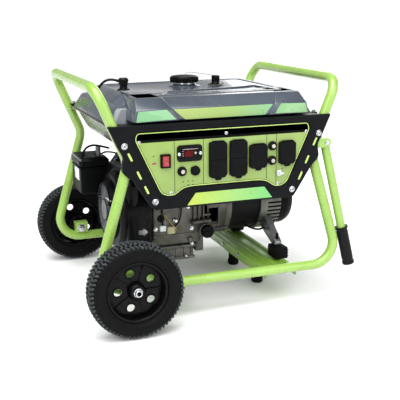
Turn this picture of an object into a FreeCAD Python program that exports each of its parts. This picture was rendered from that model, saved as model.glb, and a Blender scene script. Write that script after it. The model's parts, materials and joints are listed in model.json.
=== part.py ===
"""Open-frame portable generator on two wheels, as a parametric FreeCAD document.

Row frame: +X runs along the crankshaft from the recoil starter to the alternator, the control panel
faces -Y, +Z is up. The origin is on the ground, in the middle of the machine's box. Millimetres.
"""
import FreeCAD, Part
import Sketcher
import math
import os
import re

V = FreeCAD.Vector
doc = FreeCAD.newDocument("portable_generator")

# ------------------------------------------------------------------ driving dimensions
SIZES = {
    # tube frame: two bent end hoops joined by two straight bottom rails
    "tube_od": 28, "tube_wall": 2, "rail_spacing": 550, "rail_height": 99,
    "foot_corner_x": 364, "waist_x": 262.5, "waist_z": 439, "top_x": 342, "top_z": 631,
    "foot_bend": 62, "waist_bend": 60, "top_bend": 52,
    # pressed crossmembers under the engine and the alternator
    "engine_beam_x": -146, "engine_beam_wide": 80, "beam_top": 97, "beam_deep": 28, "beam_wall": 3,
    "stand_beam_x": 186, "stand_beam_wide": 96, "stand_leg_half": 112, "stand_leg_wide": 46,
    "stand_leg_foot": 45, "foot_radius": 18, "foot_y": 94,
    # wheels
    "wheel_x": -277, "wheel_y": 361.5, "wheel_radius": 127, "tyre_wide": 72, "rim_radius": 79,
    "rim_wide": 56, "hub_radius": 21, "hub_long": 56, "axle_radius": 8, "run_gap": 0.05,
    "window_count": 5, "window_radius": 11, "window_pitch": 48, "web_thick": 7,
    "axle_block_long": 40, "axle_block_wide": 26, "axle_block_top": 146,
    # fold-down handles
    "pivot_x": 305.7, "pivot_z": 456, "handle_od": 25, "handle_long": 378, "handle_lean": 14.1,
    "grip_radius": 16, "grip_long": 118, "clevis_gap": 25.6, "clevis_plate": 3, "clevis_radius": 13,
    "pivot_radius": 5,
    # fuel tank: two pressed shells closed together at a flange
    "tank_flange_z": 531, "tank_half_x": 298, "tank_half_y": 222, "tank_wall": 2,
    "tank_deck_z": 573, "tank_deck_x": 274, "tank_deck_y": 205, "tank_top_z": 600,
    "tank_crown_x": 236, "tank_crown_y": 185, "tank_nose_y": 287, "tank_nose_x": 250,
    "tank_nose_z": 541, "tank_nose_brow": 572, "tank_nose_top_y": 250, "tank_nose_top_x": 236,
    "tank_floor_z": 456, "tank_floor_x": 262, "tank_floor_y": 150,
    "tank_tab_y": 236, "tank_tab_x": 291,
    # filler, cap, gauge and vent on the tank top
    "cap_x": 0, "cap_y": 30, "cap_radius": 43, "cap_tall": 20, "neck_radius": 30, "neck_tall": 8,
    "gauge_x": 92, "gauge_y": 10, "gauge_radius": 11, "gauge_tall": 26, "gauge_base": 42,
    "vent_x": -205, "vent_y": -40, "vent_radius": 14, "vent_tall": 34,
    "hose_radius": 3.5, "tether_radius": 1.2,
    # control panel
    "bezel_front": 296, "bezel_thick": 5, "bezel_top": 537, "bezel_tip_x": 312, "bezel_low": 312,
    "fascia_front": 294, "fascia_thick": 2, "fascia_top": 519, "fascia_half": 245,
    "fascia_dip": 345, "fascia_mid": 366, "box_back": 232, "box_wall": 3,
    "bolt_head": 9, "bolt_proud": 5, "upper_bolt_x": 276.5, "upper_bolt_z": 486,
    "lower_bolt_x": 197.5, "lower_bolt_z": 334.5, "screw_radius": 4, "screw_proud": 2.5,
    # engine
    "crank_z": 250, "shaft_radius": 17.5, "case_left": -150, "case_right": 15, "case_half": 105,
    "case_low": 150, "case_high": 345, "case_wall": 8, "sump_low": 103, "sump_left": -150,
    "sump_right": -18, "sump_half": 100, "sump_high": 151, "boss_left": -31, "boss_long": 60,
    "boss_radius": 8, "boss_z": 215, "neck_left": -14, "neck_right": 20, "neck_half": 60,
    "neck_low": 166, "neck_high": 208, "barrel_x": -60, "barrel_radius": 58, "barrel_tilt": 25,
    "fin_side": 148, "fin_thick": 3, "fin_pitch": 11, "fin_count": 7, "head_start": 192,
    "head_deep": 43, "cover_deep": 27, "bore_radius": 44,
    "blower_left": -243, "blower_right": -152, "blower_radius": 118, "blower_wall": 5,
    "recoil_left": -277, "recoil_radius": 88, "recoil_wall": 4, "flywheel_radius": 100,
    "flywheel_left": -226, "flywheel_thick": 12, "fan_blades": 12, "fan_blade_long": 10,
    "rope_x": -260, "rope_y": 82, "rope_z": 290, "rope_hole": 5, "louvre_count": 20, "louvre_wide": 5,
    "louvre_long": 24, "choke_x": -172,
    "muffler_left": 48, "muffler_right": 262, "muffler_y": 140, "muffler_z": 392,
    "muffler_radius": 57, "pipe_radius": 12, "tail_inset": 30, "tail_start": 54.5, "tail_long": 30,
    "tail_collar": 6,
    "cleaner_left": -302, "cleaner_right": -214, "cleaner_near": 124, "cleaner_far": 248,
    "cleaner_low": 270, "cleaner_high": 382, "carb_y": 180, "carb_z": 335, "carb_side": 50,
    "oil_cap_x": 11, "oil_cap_z": 188, "oil_cap_radius": 19, "oil_cap_long": 22,
    # alternator
    "adapter_left": 21, "window_left": 25, "window_right": 56, "stator_left": 100,
    "stator_right": 194, "bracket_right": 264, "cover_right": 316, "adapter_radius": 101, "stator_radius": 96, "stator_bore": 71,
    "rotor_radius": 69, "bracket_radius": 101, "cover_radius": 90, "shell_wall": 8,
    "mount_x": 222, "mount_y": 163, "mount_side": 40, "mount_long": 58, "mount_top": 132,
    "slot_count": 6, "slot_low": -68, "slot_pitch": 12.5, "slot_tall": 6,
    # devices on the panel
    "lid_thick": 5, "lid_gap": 0.3, "lid_corner": 7, "socket_thick": 4, "tab_half": 8, "tab_drop": 6,
    "button_radius": 8, "button_proud": 12, "button_bush": 8, "bush_wall": 3,
    "rocker_x": -169, "rocker_z": 441, "rocker_wide": 17, "rocker_tall": 26, "rocker_thick": 6,
    "rocker_frame": 5, "meter_x": -102, "meter_z": 457, "meter_wide": 70, "meter_tall": 44,
    "meter_thick": 6, "meter_corner": 7, "stud_x": 158, "stud_z": 383, "stud_radius": 4, "stud_long": 14,
    "wing_half": 14, "wing_tall": 6,
}
sheet = doc.addObject("Spreadsheet::Sheet", "Sizes")
for row, (word, size) in enumerate(SIZES.items(), start=1):
    sheet.set(f"A{row}", word)
    sheet.set(f"B{row}", str(size))
    sheet.setAlias(f"B{row}", word)
doc.recompute()

FUNCTIONS = {"sin", "cos", "tan", "sqrt", "abs"}
PARTS = {}
TUBES = []


# ------------------------------------------------------------------ small building tools
def formula(text):
    """A size formula in plain words, such as "rail_spacing / 2", as a sheet expression."""
    def word(match):
        name = match.group(0)
        return name if name in FUNCTIONS else "Sizes." + name
    return re.sub(r"\b[a-z]\w*\b", word, str(text))


def value(text):
    """The number that a size formula stands for now."""
    return float(sheet.evalExpression(formula(text)))


def bind(obj, **settings):
    """Ties properties of an object to size formulas."""
    for name, text in settings.items():
        obj.setExpression(name, formula(text))
    return obj


AIM = {
    "x": FreeCAD.Rotation(V(0, 1, 0), 90),
    "y": FreeCAD.Rotation(V(1, 0, 0), -90),
    "z": FreeCAD.Rotation(),
}


def place(obj, at=("0", "0", "0"), turn=AIM["z"]):
    """Puts an object at a place given by three formulas, turned by a rotation."""
    obj.Placement = FreeCAD.Placement(V(0, 0, 0), turn)
    for letter, text in zip("xyz", at):
        obj.setExpression(f"Placement.Base.{letter}", formula(text))
    return obj


def box(low, high):
    """A block between two corners, each given by three formulas."""
    block = doc.addObject("Part::Box", "block")
    spans = [f"({b}) - ({a})" for a, b in zip(low, high)]
    bind(block, Length=spans[0], Width=spans[1], Height=spans[2])
    return place(block, low)


def rod(radius, long, start, aim="z"):
    """A cylinder that starts at a point and runs along an axis."""
    solid = doc.addObject("Part::Cylinder", "rod")
    bind(solid, Radius=radius, Height=long)
    return place(solid, start, AIM[aim])


def cut(base, *tools):
    result = doc.addObject("Part::Cut", "cut")
    result.Base = base
    result.Tool = tools[0] if len(tools) == 1 else fuse(*tools)
    return result


def fuse(*solids):
    result = doc.addObject("Part::MultiFuse", "fuse")
    result.Shapes = list(solids)
    return result


def together(*solids):
    """Separate solids that share one sub-part, such as a set of bolts."""
    result = doc.addObject("Part::Compound", "set")
    result.Links = list(solids)
    return result


def tube(outer, inner, long, start, aim="z"):
    return cut(rod(outer, long, start, aim), rod(inner, long, start, aim))


def part(label, obj):
    """Registers a finished sub-part under its name."""
    obj.Label = label
    PARTS[label] = obj
    return obj


def origin_plane(body, role):
    return next(p for p in body.Origin.OriginFeatures if p.Role == role)


def draw(body, plane, loops, offset="0"):
    """A sketch of closed outlines whose corners are each tied to two formulas."""
    sketch = body.newObject("Sketcher::SketchObject", "outline")
    sketch.AttachmentSupport = (origin_plane(body, plane), [""])
    sketch.MapMode = "FlatFace"
    bind(sketch, **{"AttachmentOffset.Base.z": offset})
    for loop in loops:
        corners = [V(value(u), value(w), 0) for u, w in loop]
        first = sketch.GeometryCount
        for i, corner in enumerate(corners):
            sketch.addGeometry(Part.LineSegment(corner, corners[(i + 1) % len(corners)]), False)
        for i, (u, w) in enumerate(loop):
            after = first + (i + 1) % len(loop)
            sketch.addConstraint(Sketcher.Constraint("Coincident", first + i, 2, after, 1))
            for kind, text, size in (("DistanceX", u, corners[i].x), ("DistanceY", w, corners[i].y)):
                number = sketch.addConstraint(Sketcher.Constraint(kind, -1, 1, first + i, 1, size))
                sketch.setExpression(f"Constraints[{number}]", formula(text))
    return sketch


def pad(body, plane, loops, long, offset="0"):
    """Adds a straight extrusion of one or more outlines to a body."""
    feature = body.newObject("PartDesign::Pad", "pad")
    feature.Profile = draw(body, plane, loops, offset)
    bind(feature, Length=long)
    return feature


def plate(plane, loops, long, offset="0"):
    body = doc.addObject("PartDesign::Body", "plate")
    pad(body, plane, loops, long, offset)
    return body


def turned(profile, at=("0", "0", "0"), aim="z"):
    """A body revolved about its own Z axis from an outline of (radius, height) corners."""
    body = doc.addObject("PartDesign::Body", "turned")
    sketch = draw(body, "XZ_Plane", [profile])
    spin = body.newObject("PartDesign::Revolution", "revolution")
    spin.Profile = sketch
    spin.ReferenceAxis = (sketch, ["V_Axis"])
    spin.Angle = 360
    return place(body, at, AIM[aim])


def mirrored(points):
    """An outline in the XZ view made of its right half and the same half mirrored in X."""
    left = [(f"-({x})", z) for x, z in reversed(points)]
    return points + left


def bent_path(points, bends):
    """A wire of straight runs joined by tangent arcs, one bend radius for each inner point."""
    edges = []
    start = points[0]
    for before, corner, after, bend in zip(points, points[1:], points[2:], bends):
        inward = (before - corner).normalize()
        onward = (after - corner).normalize()
        half = inward.getAngle(onward) / 2
        reach = bend / math.tan(half)
        middle = (inward + onward).normalize()
        centre = corner + middle * (bend / math.sin(half))
        begin, end = corner + inward * reach, corner + onward * reach
        edges.append(Part.LineSegment(start, begin).toShape())
        edges.append(Part.Arc(begin, centre - middle * bend, end).toShape())
        start = end
    edges.append(Part.LineSegment(start, points[-1]).toShape())
    return Part.Wire(edges)


def swept(points, bends, radius):
    """A round bar swept along a bent path; its radius is tied to a formula."""
    path = doc.addObject("Part::Feature", "path")
    path.Shape = bent_path(points, bends)
    section = doc.addObject("Part::Circle", "section")
    bind(section, Radius=radius)
    along = (points[1] - points[0]).normalize()
    section.Placement = FreeCAD.Placement(points[0], FreeCAD.Rotation(V(0, 0, 1), along))
    sweep = doc.addObject("Part::Sweep", "sweep")
    sweep.Sections = [section]
    sweep.Spine = (path, [f"Edge{i + 1}" for i in range(len(path.Shape.Edges))])
    sweep.Solid = True
    sweep.Frenet = False
    return sweep


def point(*texts):
    return V(*[value(text) for text in texts])


# ------------------------------------------------------------------ tube frame
def foot_reach():
    """How far the bottom bend's arc takes up of the rail, from the corner."""
    rise = math.atan2(value("waist_z - rail_height"), value("foot_corner_x - waist_x"))
    return value("foot_bend") / math.tan(rise / 2)


def hoop(side):
    """One end of the frame: a single tube up one side, over the top as a lift bar, and down."""
    rail_end = value("foot_corner_x") - foot_reach() - value("tube_od")
    near = [
        V(side * rail_end, -value("rail_spacing / 2"), value("rail_height")),
        V(side * value("foot_corner_x"), -value("rail_spacing / 2"), value("rail_height")),
        V(side * value("waist_x"), -value("rail_spacing / 2"), value("waist_z")),
        V(side * value("top_x"), -value("rail_spacing / 2"), value("top_z")),
    ]
    far = [V(p.x, -p.y, p.z) for p in reversed(near)]
    bends = [value(text) for text in ("foot_bend", "waist_bend", "top_bend")]
    bends = bends + list(reversed(bends))
    outer = swept(near + far, bends, "tube_od / 2")
    inner = swept(near + far, bends, "tube_od / 2 - tube_wall")
    TUBES.append(outer)
    return cut(outer, inner)


def frame():
    part("left_hoop", hoop(-1))
    part("right_hoop", hoop(1))
    rail_end = round(value("foot_corner_x") - foot_reach() - value("tube_od"), 6)
    rails = []
    for side in ("-1", "1"):
        start = (f"-{rail_end}", f"{side} * rail_spacing / 2", "rail_height")
        rails.append(tube("tube_od / 2", "tube_od / 2 - tube_wall", f"2 * {rail_end}", start, "x"))
    part("bottom_rails", together(*rails))


def beam_outline(half):
    """A channel section open at the bottom, in the XZ view."""
    low = "beam_top - beam_deep"
    return [
        (f"{half[0]}", low), (f"{half[0]}", "beam_top"), (f"{half[1]}", "beam_top"), (f"{half[1]}", low),
        (f"{half[1]} - beam_wall", low), (f"{half[1]} - beam_wall", "beam_top - beam_wall"),
        (f"{half[0]} + beam_wall", "beam_top - beam_wall"), (f"{half[0]} + beam_wall", low),
    ]


def crossmembers():
    inner = "rail_spacing / 2 - tube_od / 2"
    span = f"2 * ({inner})"
    ends = ("engine_beam_x - engine_beam_wide / 2", "engine_beam_x + engine_beam_wide / 2")
    part("engine_crossmember", plate("XZ_Plane", [beam_outline(ends)], span, f"-({inner})"))
    ends = ("stand_beam_x - stand_beam_wide / 2", "stand_beam_x + stand_beam_wide / 2")
    beam = plate("XZ_Plane", [beam_outline(ends)], span, f"-({inner})")
    leg = box(
        ("stand_beam_x - stand_leg_wide / 2", "-stand_leg_half", "stand_leg_foot"),
        ("stand_beam_x + stand_leg_wide / 2", "stand_leg_half", "beam_top - beam_wall"),
    )
    hollow = box(
        ("stand_beam_x - stand_leg_wide / 2 + beam_wall", "-stand_leg_half - 1",
         "stand_leg_foot + beam_wall"),
        ("stand_beam_x + stand_leg_wide / 2 - beam_wall", "stand_leg_half + 1", "beam_top"),
    )
    part("alternator_crossmember", fuse(beam, cut(leg, hollow)))
    feet = [
        turned([("0", "0"), ("foot_radius - 3", "0"), ("foot_radius", "4"),
                ("foot_radius - 3", "stand_leg_foot"), ("0", "stand_leg_foot")],
               ("stand_beam_x", f"{side} * foot_y", "0"))
        for side in ("-1", "1")
    ]
    part("rubber_feet", together(*feet))
    mounts = [
        rod("foot_radius", "sump_low - beam_top",
            ("sump_left + foot_radius + 4", f"{side} * (sump_half - foot_radius)", "beam_top"))
        for side in ("-1", "1")
    ]
    mounts += [
        box(("mount_x - mount_side / 2", f"{side} * mount_y - mount_long / 2", "beam_top"),
            ("mount_x + mount_side / 2", f"{side} * mount_y + mount_long / 2", "mount_top"))
        for side in ("-1", "1")
    ]
    part("rubber_mounts", together(*mounts))


def frame_brackets():
    """Lugs welded to the tubes: axle blocks, handle clevises and tank tabs."""
    lugs = []
    for side in ("-1", "1"):
        rail_y = f"{side} * rail_spacing / 2"
        block = box(
            ("wheel_x - axle_block_long / 2", f"{rail_y} - axle_block_wide / 2",
             "rail_height + tube_od / 2 - 1"),
            ("wheel_x + axle_block_long / 2", f"{rail_y} + axle_block_wide / 2", "axle_block_top"),
        )
        hole = rod("axle_radius + run_gap", "axle_block_wide + 2",
                   ("wheel_x", f"{rail_y} - axle_block_wide / 2 - 1", "wheel_radius"), "y")
        rail = rod("tube_od / 2", "axle_block_long + 2",
                   ("wheel_x - axle_block_long / 2 - 1", rail_y, "rail_height"), "x")
        lugs.append(cut(block, hole, rail))
        for ear in ("-1", "1"):
            ear_y = f"{rail_y} + {ear} * (clevis_gap + clevis_plate) / 2 - clevis_plate / 2"
            lobe = rod("clevis_radius", "clevis_plate", ("pivot_x", ear_y, "pivot_z"), "y")
            web = box(
                ("waist_x + 6", ear_y, "pivot_z - clevis_radius"),
                ("pivot_x", f"{ear_y} + clevis_plate", "pivot_z + clevis_radius"),
            )
            eye = rod("pivot_radius + run_gap", "clevis_plate + 2",
                      ("pivot_x", f"{ear_y} - 1", "pivot_z"), "y")
            lugs.append(cut(fuse(lobe, web), eye))
        for end in ("-1", "1"):
            tab = box(
                (f"{end} * tank_tab_x - 14", f"{side} * (rail_spacing / 2 - 24) - 24", "tank_flange_z - 12"),
                (f"{end} * tank_tab_x + 14", f"{side} * (rail_spacing / 2 - 24) + 24", "tank_flange_z - 9"),
            )
            lugs.append(tab)
    part("frame_brackets", cut(together(*lugs), *TUBES))


# ------------------------------------------------------------------ wheels
def wheels():
    half = "tyre_wide / 2"
    tyre = [
        ("rim_radius", f"-{half} + 8"), ("rim_radius + 14", f"-{half}"), ("wheel_radius - 14", f"-{half}"),
        ("wheel_radius", f"-{half} + 12"), ("wheel_radius", f"{half} - 12"), ("wheel_radius - 14", half),
        ("rim_radius + 14", half), ("rim_radius", f"{half} - 8"),
    ]
    for name, side in (("front", -1), ("rear", 1)):
        centre = ("wheel_x", f"{side} * wheel_y", "wheel_radius")
        part(f"{name}_tyre", turned(tyre, centre, "y"))
        start = ("wheel_x", f"{side} * wheel_y - rim_wide / 2", "wheel_radius")
        barrel = tube("rim_radius", "rim_radius - 6", "rim_wide", start, "y")
        web_y = f"{side} * (wheel_y + 12) - web_thick / 2"
        web = rod("rim_radius - 3", "web_thick", ("wheel_x", web_y, "wheel_radius"), "y")
        hub = rod("hub_radius", "hub_long",
                  ("wheel_x", f"{side} * wheel_y - hub_long / 2", "wheel_radius"), "y")
        windows = []
        for turn in range(int(value("window_count"))):
            angle = math.radians(360 * turn / value("window_count") + 36)
            at = (f"wheel_x + window_pitch * {math.cos(angle):.6f}", f"{web_y} - 1",
                  f"wheel_radius + window_pitch * {math.sin(angle):.6f}")
            windows.append(rod("window_radius", "web_thick + 2", at, "y"))
        bore = rod("axle_radius + run_gap", "hub_long + 2",
                   ("wheel_x", f"{side} * wheel_y - hub_long / 2 - 1", "wheel_radius"), "y")
        part(f"{name}_rim", cut(fuse(barrel, web, hub), bore, *windows))


def pivot_bolts():
    """Stub axles through the axle blocks, and the bolts that the handles swing on."""
    bolts = []
    for side, low in ((-1, "-1"), (1, "0")):
        inner = "rail_spacing / 2 - axle_block_wide / 2"
        outer = "wheel_y + hub_long / 2"
        long = f"{outer} - ({inner}) + 1"
        start = f"{side} * ({inner}) + {low} * ({long})"
        shank = rod("axle_radius", long, ("wheel_x", start, "wheel_radius"), "y")
        head = rod("axle_radius + 5", "8", ("wheel_x", f"{side} * ({inner} - 4) - 4", "wheel_radius"), "y")
        nut = rod("axle_radius + 5", "10", ("wheel_x", f"{side} * ({outer} + 5.5) - 5", "wheel_radius"), "y")
        bolts.append(fuse(shank, head, nut))
        reach = "clevis_gap / 2 + clevis_plate + 5"
        middle = f"{side} * rail_spacing / 2"
        pin = rod("pivot_radius", f"2 * ({reach})", ("pivot_x", f"{middle} - ({reach})", "pivot_z"), "y")
        knob = rod("pivot_radius + 4", "5", ("pivot_x", f"{middle} - ({reach})", "pivot_z"), "y")
        lock = rod("pivot_radius + 4", "5", ("pivot_x", f"{middle} + ({reach}) - 5", "pivot_z"), "y")
        bolts.append(fuse(pin, knob, lock))
    part("pivot_bolts", together(*bolts))


def handles():
    """Each handle is built hanging straight down from its pivot, then leaned outward."""
    lean = FreeCAD.Rotation(V(0, 1, 0), -value("handle_lean"))
    for name, side in (("front", "-1"), ("rear", "1")):
        at = ("pivot_x", f"{side} * rail_spacing / 2", "pivot_z")
        bar = turned([
            ("0", "-handle_long + 4"), ("handle_od / 2", "-handle_long + 4"), ("handle_od / 2", "6"),
            ("handle_od / 2 - 5", "handle_od / 2"), ("0", "handle_od / 2"),
        ])
        eye = rod("pivot_radius + run_gap", "handle_od + 2", ("0", "-handle_od / 2 - 1", "0"), "y")
        bore = rod("handle_od / 2 - tube_wall", "handle_long - handle_od - 4",
                   ("0", "0", "-handle_long + 4"))
        part(f"{name}_handle_tube", place(cut(bar, eye, bore), at, lean))
        grip = [
            ("handle_od / 2", "-handle_long + 4"), ("0", "-handle_long + 4"), ("0", "-handle_long"),
            ("grip_radius + 2", "-handle_long"), ("grip_radius + 2", "-handle_long + 6"),
            ("grip_radius", "-handle_long + 10"), ("grip_radius", "-handle_long + grip_long - 6"),
            ("grip_radius + 3", "-handle_long + grip_long - 5"),
            ("grip_radius + 3", "-handle_long + grip_long"), ("handle_od / 2", "-handle_long + grip_long"),
        ]
        part(f"{name}_handle_grip", place(turned(grip), at, lean))


# ------------------------------------------------------------------ fuel tank
def frustum(low, high, low_half, high_half):
    """A block whose top and bottom rectangles differ; halves are (x, y) formulas."""
    solid = doc.addObject("Part::Wedge", "frustum")
    bind(
        solid,
        Xmin=f"-({low_half[1]})", Xmax=low_half[1], Zmin=f"-({low_half[0]})", Zmax=low_half[0],
        Ymin="0", Ymax=f"({high}) - ({low})",
        X2min=f"-({high_half[1]})", X2max=high_half[1], Z2min=f"-({high_half[0]})", Z2max=high_half[0],
    )
    stand_up = FreeCAD.Rotation(V(0, 1, 0), V(0, 0, 1), V(1, 0, 0), "XYZ")
    return place(solid, ("0", "0", low), stand_up)


def shelled(low, high, low_half, high_half):
    """Outer block and the smaller block to take out of it, open at the flange side."""
    wall = "tank_wall"
    inner_low = [f"{half} - {wall}" for half in low_half]
    inner_high = [f"{half} - {wall}" for half in high_half]
    return frustum(low, high, low_half, high_half), frustum(low, high, inner_low, inner_high)


def fuel_tank():
    flange = ("tank_half_x", "tank_half_y")
    deck = ("tank_deck_x", "tank_deck_y")
    crown = ("tank_crown_x", "tank_crown_y")
    skirt, skirt_hollow = shelled("tank_flange_z", "tank_deck_z", flange, deck)
    top, top_hollow = shelled("tank_deck_z", "tank_top_z", ("tank_deck_x - 8", "tank_deck_y - 4"), crown)
    lid = box(("-tank_crown_x", "-tank_crown_y", "tank_top_z - tank_wall"),
              ("tank_crown_x", "tank_crown_y", "tank_top_z"))
    nose = plate(
        "YZ_Plane",
        [[("-tank_nose_y", "tank_nose_z"), ("-tank_nose_y", "tank_nose_brow"),
          ("-tank_nose_top_y", "tank_top_z"), ("-tank_crown_y", "tank_top_z"),
          ("-tank_crown_y", "tank_nose_z")]],
        "2 * tank_nose_x", "-tank_nose_x",
    )
    nose_hollow = plate(
        "YZ_Plane",
        [[("-tank_nose_y + tank_wall", "tank_nose_z + tank_wall"),
          ("-tank_nose_y + tank_wall", "tank_nose_brow - 1"),
          ("-tank_nose_top_y + 1", "tank_top_z - tank_wall"),
          ("-tank_crown_y + 1", "tank_top_z - tank_wall"),
          ("-tank_crown_y + 1", "tank_nose_z + tank_wall")]],
        "2 * (tank_nose_x - tank_wall)", "-tank_nose_x + tank_wall",
    )
    neck = rod("neck_radius - 4", "2 * tank_wall + 2", ("cap_x", "cap_y", "tank_top_z - tank_wall - 1"))
    shell = cut(fuse(skirt, top, nose), skirt_hollow, top_hollow, nose_hollow)
    part("tank_upper_shell", cut(fuse(shell, lid), neck))
    rim = box(("-tank_half_x - 8", "-tank_half_y - 8", "tank_flange_z - 3"),
              ("tank_half_x + 8", "tank_half_y + 8", "tank_flange_z"))
    opening = box(("-tank_half_x + 8", "-tank_half_y + 8", "tank_flange_z - 4"),
                  ("tank_half_x - 8", "tank_half_y - 8", "tank_flange_z + 1"))
    floor_half = ("tank_floor_x", "tank_floor_y")
    bowl_top = ("tank_half_x - 6", "tank_half_y - 6")
    bowl, bowl_hollow = shelled("tank_floor_z", "tank_flange_z - 3", floor_half, bowl_top)
    floor = box(("-tank_floor_x", "-tank_floor_y", "tank_floor_z"),
                ("tank_floor_x", "tank_floor_y", "tank_floor_z + tank_wall"))
    part("tank_lower_shell", fuse(cut(bowl, bowl_hollow), floor, cut(rim, opening)))
    studs = []
    for side in ("-1", "1"):
        for end in ("-1", "1"):
            at = (f"{end} * tank_tab_x", f"{side} * tank_tab_y", "tank_flange_z - 9")
            above = (at[0], at[1], "tank_flange_z")
            studs.append(fuse(rod("9", "6", at), rod("9", "7", above), rod("4.5", "12", above)))
    part("tank_bolts", together(*studs))


def tank_fittings():
    at_neck = ("cap_x", "cap_y", "tank_top_z")
    part("filler_neck", tube("neck_radius", "neck_radius - 4", "neck_tall + 6", at_neck))
    underside = ("cap_x", "cap_y", "tank_top_z + neck_tall")
    cap = [
        ("0", "neck_tall"), ("neck_radius + 0.3", "neck_tall"), ("neck_radius + 0.3", "0"),
        ("cap_radius", "0"), ("cap_radius", "cap_tall - 4"), ("cap_radius - 5", "cap_tall"),
        ("0", "cap_tall"),
    ]
    part("fuel_cap", turned(cap, underside))
    gauge = [
        ("0", "0"), ("gauge_base / 2", "0"), ("gauge_base / 2", "3"), ("gauge_radius", "5"),
        ("gauge_radius", "gauge_tall - 3"), ("gauge_radius - 3", "gauge_tall"), ("0", "gauge_tall"),
    ]
    part("fuel_gauge", turned(gauge, ("gauge_x", "gauge_y", "tank_top_z")))
    vent = [
        ("0", "0"), ("vent_radius + 4", "0"), ("vent_radius + 4", "4"), ("vent_radius - 3", "6"),
        ("vent_radius - 3", "vent_tall / 2"), ("vent_radius", "vent_tall / 2 + 1"),
        ("vent_radius", "vent_tall - 3"), ("vent_radius - 3", "vent_tall"), ("0", "vent_tall"),
    ]
    part("vent_valve", turned(vent, ("vent_x", "vent_y", "tank_top_z")))
    clear = value("tube_od")
    hose = [
        point("vent_x - vent_radius - 1.2", "vent_y", "tank_top_z + vent_tall - 8"),
        point("vent_x - 34", "vent_y + 4", "tank_top_z + vent_tall - 3"),
        point("vent_x - 56", "vent_y + 16", "tank_top_z + vent_tall - 12"),
        point("vent_x - 70", "vent_y + 30", "tank_top_z + 2"),
        point("vent_x - 78", "vent_y + 40", f"tank_top_z - {clear}"),
    ]
    part("vent_hose", swept(hose, smooth_bends(hose), "hose_radius"))
    wire = [
        point("cap_x + cap_radius + tether_radius", "cap_y", "tank_top_z + neck_tall + 12"),
        point("cap_x + cap_radius + 16", "cap_y - 3", "tank_top_z + 24"),
        point("gauge_x - gauge_radius - 16", "gauge_y + 6", "tank_top_z + 22"),
        point("gauge_x - gauge_radius - tether_radius", "gauge_y", "tank_top_z + 15"),
    ]
    part("cap_tether", swept(wire, smooth_bends(wire), "tether_radius"))


def smooth_bends(points):
    """Bend radii as large as the runs beside each corner allow."""
    bends = []
    for before, corner, after in zip(points, points[1:], points[2:]):
        inward, onward = before - corner, after - corner
        shorter = min(inward.Length, onward.Length)
        bends.append(0.45 * shorter * math.tan(inward.getAngle(onward) / 2))
    print("bend radii mm:", [round(bend, 1) for bend in bends])
    return bends


# ------------------------------------------------------------------ control panel
BEZEL_EDGE = [
    ("bezel_tip_x", "bezel_top"), ("upper_bolt_x + 13", "upper_bolt_z - 2"),
    ("waist_x + 11", "waist_z + 16"), ("waist_x + 18", "waist_z - 21"), ("waist_x - 4", "waist_z - 39"),
    ("lower_bolt_x + 11", "lower_bolt_z - 12"), ("lower_bolt_x + 2", "bezel_low"),
]
FASCIA_EDGE = [
    ("fascia_half - 5", "fascia_top"), ("fascia_half + 7", "fascia_top - 14"),
    ("fascia_half + 5", "fascia_top - 22"), ("fascia_half - 62", "fascia_dip + 8"),
    ("fascia_half - 81", "fascia_dip"), ("fascia_half - 102", "fascia_dip"),
    ("fascia_half - 128", "fascia_mid - 5"), ("fascia_half - 148", "fascia_mid"),
]


def control_panel():
    face = plate("XZ_Plane", [mirrored(BEZEL_EDGE), mirrored(FASCIA_EDGE)], "bezel_thick",
                 "bezel_front - bezel_thick")
    shelf = box(("-fascia_half - 37", "-bezel_front + bezel_thick", "bezel_top - 4"),
                ("fascia_half + 37", "-tank_nose_top_y", "bezel_top"))
    part("panel_bezel", fuse(face, shelf))
    part("panel_fascia", plate("XZ_Plane", [mirrored(FASCIA_EDGE)], "fascia_thick",
                               "fascia_front - fascia_thick"))
    rim = [("fascia_half - 30", "fascia_top - 16"), ("fascia_half - 88", "fascia_mid - 22")]
    hole = [("fascia_half - 33", "fascia_top - 19"), ("fascia_half - 89", "fascia_mid - 19")]
    body = doc.addObject("PartDesign::Body", "box")
    pad(body, "XZ_Plane", [mirrored(rim), mirrored(hole)],
        "bezel_front - bezel_thick - box_back", "box_back")
    pad(body, "XZ_Plane", [mirrored(rim)], "box_wall", "box_back")
    part("panel_box", body)


def dome_bolt(x, z, front, radius, proud):
    """A round head standing proud of a face that looks towards -Y."""
    profile = [("0", "0"), (radius, "0"), (radius, f"{proud} / 3"), (f"{radius} * 0.6", proud), ("0", proud)]
    body = turned(profile)
    return place(body, (x, f"-({front})", z), FreeCAD.Rotation(V(1, 0, 0), 90))


def panel_fasteners():
    bolts = []
    for side in ("-1", "1"):
        for x, z in (("upper_bolt_x", "upper_bolt_z"), ("lower_bolt_x", "lower_bolt_z")):
            bolts.append(dome_bolt(f"{side} * {x}", z, "bezel_front", "bolt_head", "bolt_proud"))
        for x, z in (("fascia_half - 7", "fascia_top - 26"), ("fascia_half - 91", "fascia_dip + 9")):
            bolts.append(dome_bolt(f"{side} * ({x})", z, "fascia_front", "screw_radius", "screw_proud"))
    bolts.append(dome_bolt("0", "fascia_top - 16", "fascia_front", "screw_radius", "screw_proud"))
    stud = rod("stud_radius", "stud_long", ("stud_x", "-fascia_front - stud_long", "stud_z"), "y")
    wing = box(("stud_x - wing_half", "-fascia_front - stud_long + 3", "stud_z - wing_tall / 2"),
               ("stud_x + wing_half", "-fascia_front - 5", "stud_z + wing_tall / 2"))
    bolts.append(fuse(stud, wing))
    part("panel_fasteners", together(*bolts))


# Each outlet's lid: centre x, top, bottom, width
LIDS = {
    "duplex_cover_left": (-23.5, 484, 385, 52),
    "duplex_cover_right": (35, 484, 385, 52),
    "twist_cover_left": (93, 469, 402, 54),
    "twist_cover_right": (179, 472, 407, 52),
    "dc_cover": (-87.5, 422, 397, 26),
}
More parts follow.
